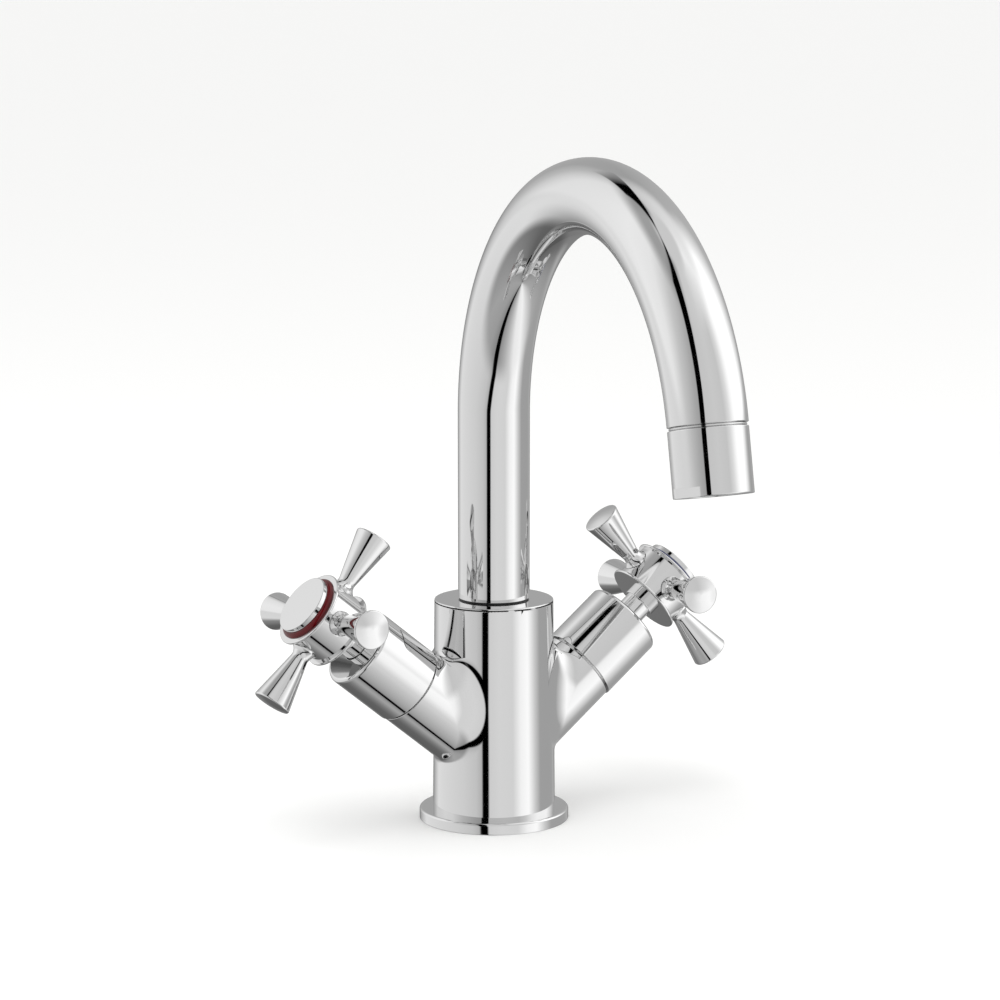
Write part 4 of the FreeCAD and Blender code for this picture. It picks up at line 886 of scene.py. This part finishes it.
tube_tree, tube_input, tube_output = new_geometry_tree("bent_tube", [
    ("Start", "NodeSocketFloat"), ("Riser", "NodeSocketFloat"),
    ("Bend radius", "NodeSocketFloat"), ("Bend angle", "NodeSocketFloat"),
    ("Tube radius", "NodeSocketFloat"), ("Steps", "NodeSocketInt"), ("Parts", "NodeSocketInt"),
    ("Finish", "NodeSocketMaterial")])
bend_length = add_node(tube_tree, "ShaderNodeMath", {"operation": "MULTIPLY"},
                       {0: tube_input.outputs["Bend radius"],
                        1: tube_input.outputs["Bend angle"]})
path_length = add_node(tube_tree, "ShaderNodeMath", {"operation": "ADD"},
                       {0: bend_length.outputs[0], 1: tube_input.outputs["Riser"]})
path_end = add_node(tube_tree, "ShaderNodeCombineXYZ", {}, {"Z": path_length.outputs[0]})
line = add_node(tube_tree, "GeometryNodeCurvePrimitiveLine", {}, {"End": path_end.outputs[0]})
steps = add_node(tube_tree, "GeometryNodeResampleCurve", {},
                 {"Curve": line.outputs[0], "Count": tube_input.outputs["Steps"]})
run = add_node(tube_tree, "GeometryNodeSplineParameter", {}, {}).outputs["Length"]
rise = add_node(tube_tree, "ShaderNodeMath", {"operation": "MINIMUM"},
                {0: run, 1: tube_input.outputs["Riser"]})
past = add_node(tube_tree, "ShaderNodeMath", {"operation": "SUBTRACT"},
                {0: run, 1: rise.outputs[0]})
bent = add_node(tube_tree, "ShaderNodeMath", {"operation": "DIVIDE"},
                {0: past.outputs[0], 1: tube_input.outputs["Bend radius"]})
bent_cosine = add_node(tube_tree, "ShaderNodeMath", {"operation": "COSINE"}, {0: bent.outputs[0]})
bent_sine = add_node(tube_tree, "ShaderNodeMath", {"operation": "SINE"}, {0: bent.outputs[0]})
short = add_node(tube_tree, "ShaderNodeMath", {"operation": "SUBTRACT"},
                 {0: bent_cosine.outputs[0], 1: 1.0})
reach = add_node(tube_tree, "ShaderNodeMath", {"operation": "MULTIPLY"},
                 {0: short.outputs[0], 1: tube_input.outputs["Bend radius"]})
base = add_node(tube_tree, "ShaderNodeMath", {"operation": "ADD"},
                {0: rise.outputs[0], 1: tube_input.outputs["Start"]})
climb = add_node(tube_tree, "ShaderNodeMath", {"operation": "MULTIPLY_ADD"},
                 {0: bent_sine.outputs[0], 1: tube_input.outputs["Bend radius"],
                  2: base.outputs[0]})
on_path = add_node(tube_tree, "ShaderNodeCombineXYZ", {},
                   {"Y": reach.outputs[0], "Z": climb.outputs[0]})
path = add_node(tube_tree, "GeometryNodeSetPosition", {},
                {"Geometry": steps.outputs[0], "Position": on_path.outputs[0]})
ring = add_node(tube_tree, "GeometryNodeCurvePrimitiveCircle", {},
                {"Resolution": tube_input.outputs["Parts"],
                 "Radius": tube_input.outputs["Tube radius"]})
skin = add_node(tube_tree, "GeometryNodeCurveToMesh", {},
                {"Curve": path.outputs[0], "Profile Curve": ring.outputs[0]})
smooth_skin = add_node(tube_tree, "GeometryNodeSetShadeSmooth", {}, {"Geometry": skin.outputs[0]})
plated_skin = add_node(tube_tree, "GeometryNodeSetMaterial", {},
                       {"Geometry": smooth_skin.outputs[0],
                        "Material": tube_input.outputs["Finish"]})
tube_real = add_node(tube_tree, "GeometryNodeRealizeInstances", {},
                     {"Geometry": plated_skin.outputs[0]})
tube_tree.links.new(tube_real.outputs[0], tube_output.inputs[0])

tube_piece = bpy.data.objects.new("spout_bent_tube", bpy.data.meshes.new("spout_bent_tube"))
bpy.context.collection.objects.link(tube_piece)
bake(tube_piece, tube_tree, {
    "Start": TUBE_START * MM, "Riser": (RISER_TOP - TUBE_START) * MM,
    "Bend radius": BEND_RADIUS * MM, "Bend angle": BEND_ANGLE, "Tube radius": TUBE_RADIUS * MM,
    "Steps": 232, "Parts": 128, "Finish": chrome}, Matrix.Rotation(SPOUT_TURN, 4, "Z"))
thicken = tube_piece.modifiers.new("wall", "SOLIDIFY")
thicken.thickness = TUBE_WALL * MM
thicken.offset = -1
soften = tube_piece.modifiers.new("deburred_ends", "BEVEL")
soften.width = 0.2 * MM
soften.segments = 3
soften.limit_method = "ANGLE"
soften.angle_limit = math.radians(60)
soften.harden_normals = True
bake_modifiers(tube_piece)
fit(tube_piece, "spout", "chrome", "spout_tube")

# ------------------------------------------------------------------------------ outlet
# A turned nipple is soldered in the tube's mouth. The aerator's chromed collar screws on it,
# with two flats for a spanner, and holds a grey acetal insert full of small water holes.
mouth = Matrix.Translation((0, -BEND_RADIUS * (1 - math.cos(BEND_ANGLE)),
                            RISER_TOP + BEND_RADIUS * math.sin(BEND_ANGLE)))
outlet_place = Matrix.Rotation(SPOUT_TURN, 4, "Z") @ mouth @ Matrix.Rotation(BEND_ANGLE, 4, "X")
COLLAR_RADIUS = 13.95
COLLAR_END = 24.3
FLAT_START = 20.9
FLAT_DISTANCE = 12.3
FLAT_TURN = math.radians(73)

nipple = Shell()
turn_section(nipple, [
    (9.5, -6.0), (12.5, -6.0, 0.2), (12.5, 0.0), (12.9, 0.0), (13.4, 0.4, 0.25),
    (13.4, 0.8, 0.25), (12.9, 1.2), (12.0, 1.2),
    (12.0, 9.0, 0.3), (9.5, 9.0)], outlet_place)
fit(nipple.make("outlet_nipple_turned", chrome), "spout", "chrome", "outlet_nipple")

flat_half = math.acos(FLAT_DISTANCE / COLLAR_RADIUS)
collar_angles = np.unique(np.round(np.concatenate([
    np.linspace(middle - flat_half, middle + flat_half, 17) for middle in
    (math.pi / 2, 3 * math.pi / 2)] + [
    np.linspace(start + flat_half, start + math.pi - flat_half, 65) for start in
    (-math.pi / 2, math.pi / 2)]), 9))
collar_angles = np.unique(np.round(np.mod(collar_angles, FULL_TURN), 9))
collar_angles = np.append(collar_angles, collar_angles[0] + FULL_TURN)
collar_place = outlet_place @ Matrix.Rotation(FLAT_TURN, 4, "Z")
collar = Shell()
turn_section(collar, [(12.05, 20.4), (12.05, 1.2), (COLLAR_RADIUS, 1.2, 0.4),
                      (COLLAR_RADIUS, FLAT_START)], collar_place, False, collar_angles)
turn_section(collar, [(12.9, COLLAR_END), (10.3, COLLAR_END, 0.3), (10.3, 20.4), (12.05, 20.4)],
             collar_place, False, collar_angles)
lip = round_section([(COLLAR_RADIUS, FLAT_START), (COLLAR_RADIUS, COLLAR_END, 0.4),
                     (12.9, COLLAR_END)], False)
lip_ends = section_normals(lip, False)
compass = np.column_stack([np.cos(collar_angles), np.sin(collar_angles)])
to_flat = np.column_stack([np.zeros(len(collar_angles)), np.sign(compass[:, 1])])
with np.errstate(divide="ignore"):
    flat_limit = FLAT_DISTANCE / np.abs(compass[:, 1])
for number, ends in enumerate(lip_ends):
    rows, row_normals = [], []
    for (radius, level), (away, upward) in zip(lip[number:number + 2], ends):
        limited = np.minimum(radius, flat_limit)
        on_flat = (limited < radius - 1e-6)[:, None]
        if upward > 0.999:
            on_flat[:] = False
        level_column = np.full(len(collar_angles), level)
        rows.append(np.column_stack([compass * limited[:, None], level_column]))
        radial = np.column_stack([compass * away, np.full(len(collar_angles), upward)])
        planar = np.column_stack([to_flat, np.zeros(len(collar_angles))])
        row_normals.append(np.where(on_flat, planar, radial))
    collar.add_grid(transform(rows, collar_place), transform(row_normals, collar_place, False))
ledge_outer = np.column_stack([compass * COLLAR_RADIUS, np.full(len(compass), FLAT_START)])
ledge_inner = np.column_stack([compass * np.minimum(COLLAR_RADIUS, flat_limit)[:, None],
                               np.full(len(compass), FLAT_START)])
ledge_normal = np.tile((0.0, 0.0, 1.0), (2, len(compass), 1))
collar.add_grid(transform([ledge_outer, ledge_inner], collar_place),
                transform(ledge_normal, collar_place, False))
fit(collar.make("aerator_collar_turned", chrome), "spout", "chrome", "aerator_collar")
repaint(rubber, "aerator_washer")


def grey_acetal():
    """Injection-moulded natural acetal: light grey, slightly milky, satin."""
    flow = 4.0
    material, tree, shader, place = new_finish("moulded_grey_acetal")
    swirl = noise(tree, place, flow, 3.0)
    tint(tree, shader, swirl, "#C9CBCC", "#DADBDB")
    shader.inputs["Roughness"].default_value = 0.38
    shader.inputs["IOR"].default_value = 1.48
    return material


insert_tree, insert_input, insert_output = new_geometry_tree("water_holes", [
    ("Inner count", "NodeSocketInt"), ("Outer count", "NodeSocketInt"),
    ("Inner pitch", "NodeSocketFloat"), ("Outer pitch", "NodeSocketFloat"),
    ("Hole radius", "NodeSocketFloat"), ("Level", "NodeSocketFloat"),
    ("Depth", "NodeSocketFloat"), ("Finish", "NodeSocketMaterial")])
drill = add_node(insert_tree, "GeometryNodeMeshCylinder", {},
                 {"Vertices": 20, "Radius": insert_input.outputs["Hole radius"],
                  "Depth": insert_input.outputs["Depth"]})
rounds = [add_node(insert_tree, "GeometryNodePoints", {}, {"Count": 1}).outputs[0]]
for name in ("Inner", "Outer"):
    circle = add_node(insert_tree, "GeometryNodeMeshCircle", {},
                      {"Vertices": insert_input.outputs[f"{name} count"],
                       "Radius": insert_input.outputs[f"{name} pitch"]})
    rounds.append(add_node(insert_tree, "GeometryNodeMeshToPoints", {},
                           {"Mesh": circle.outputs[0]}).outputs[0])
all_rounds = add_node(insert_tree, "GeometryNodeJoinGeometry", {}, {})
for points in rounds:
    insert_tree.links.new(points, all_rounds.inputs[0])
level_up = add_node(insert_tree, "ShaderNodeCombineXYZ", {}, {"Z": insert_input.outputs["Level"]})
lifted = add_node(insert_tree, "GeometryNodeSetPosition", {},
                  {"Geometry": all_rounds.outputs[0], "Offset": level_up.outputs[0]})
drills = add_node(insert_tree, "GeometryNodeInstanceOnPoints", {},
                  {"Points": lifted.outputs[0], "Instance": drill.outputs[0]})
real_drills = add_node(insert_tree, "GeometryNodeRealizeInstances", {},
                       {"Geometry": drills.outputs[0]})
drilled = add_node(insert_tree, "GeometryNodeMeshBoolean", {"operation": "DIFFERENCE"},
                   {"Mesh 1": insert_input.outputs["Geometry"], "Mesh 2": real_drills.outputs[0]})
insert_plated = add_node(insert_tree, "GeometryNodeSetMaterial", {},
                         {"Geometry": drilled.outputs[0],
                          "Material": insert_input.outputs["Finish"]})
insert_tree.links.new(insert_plated.outputs[0], insert_output.inputs[0])

insert = Shell()
turn_section(insert, [
    (9.15, 10.85), (12.0, 10.85), (12.0, 20.4), (10.25, 20.4), (10.25, 23.5, 0.3), (0.0, 23.5),
    (0.0, 20.9), (9.15, 20.9)], angles=round_angles(96))
insert_finish = grey_acetal()
insert_piece = insert.make("aerator_insert_moulded", insert_finish)
bake(insert_piece, insert_tree, {
    "Inner count": 6, "Outer count": 12, "Inner pitch": 3.4 * MM, "Outer pitch": 6.9 * MM,
    "Hole radius": 0.9 * MM, "Level": 22.2 * MM, "Depth": 5.0 * MM, "Finish": insert_finish},
    place_in_metres(outlet_place))
insert_piece.data.polygons.foreach_set("use_smooth", [False] * len(insert_piece.data.polygons))
fit(insert_piece, "spout", "aerator_plastic", "aerator_insert")
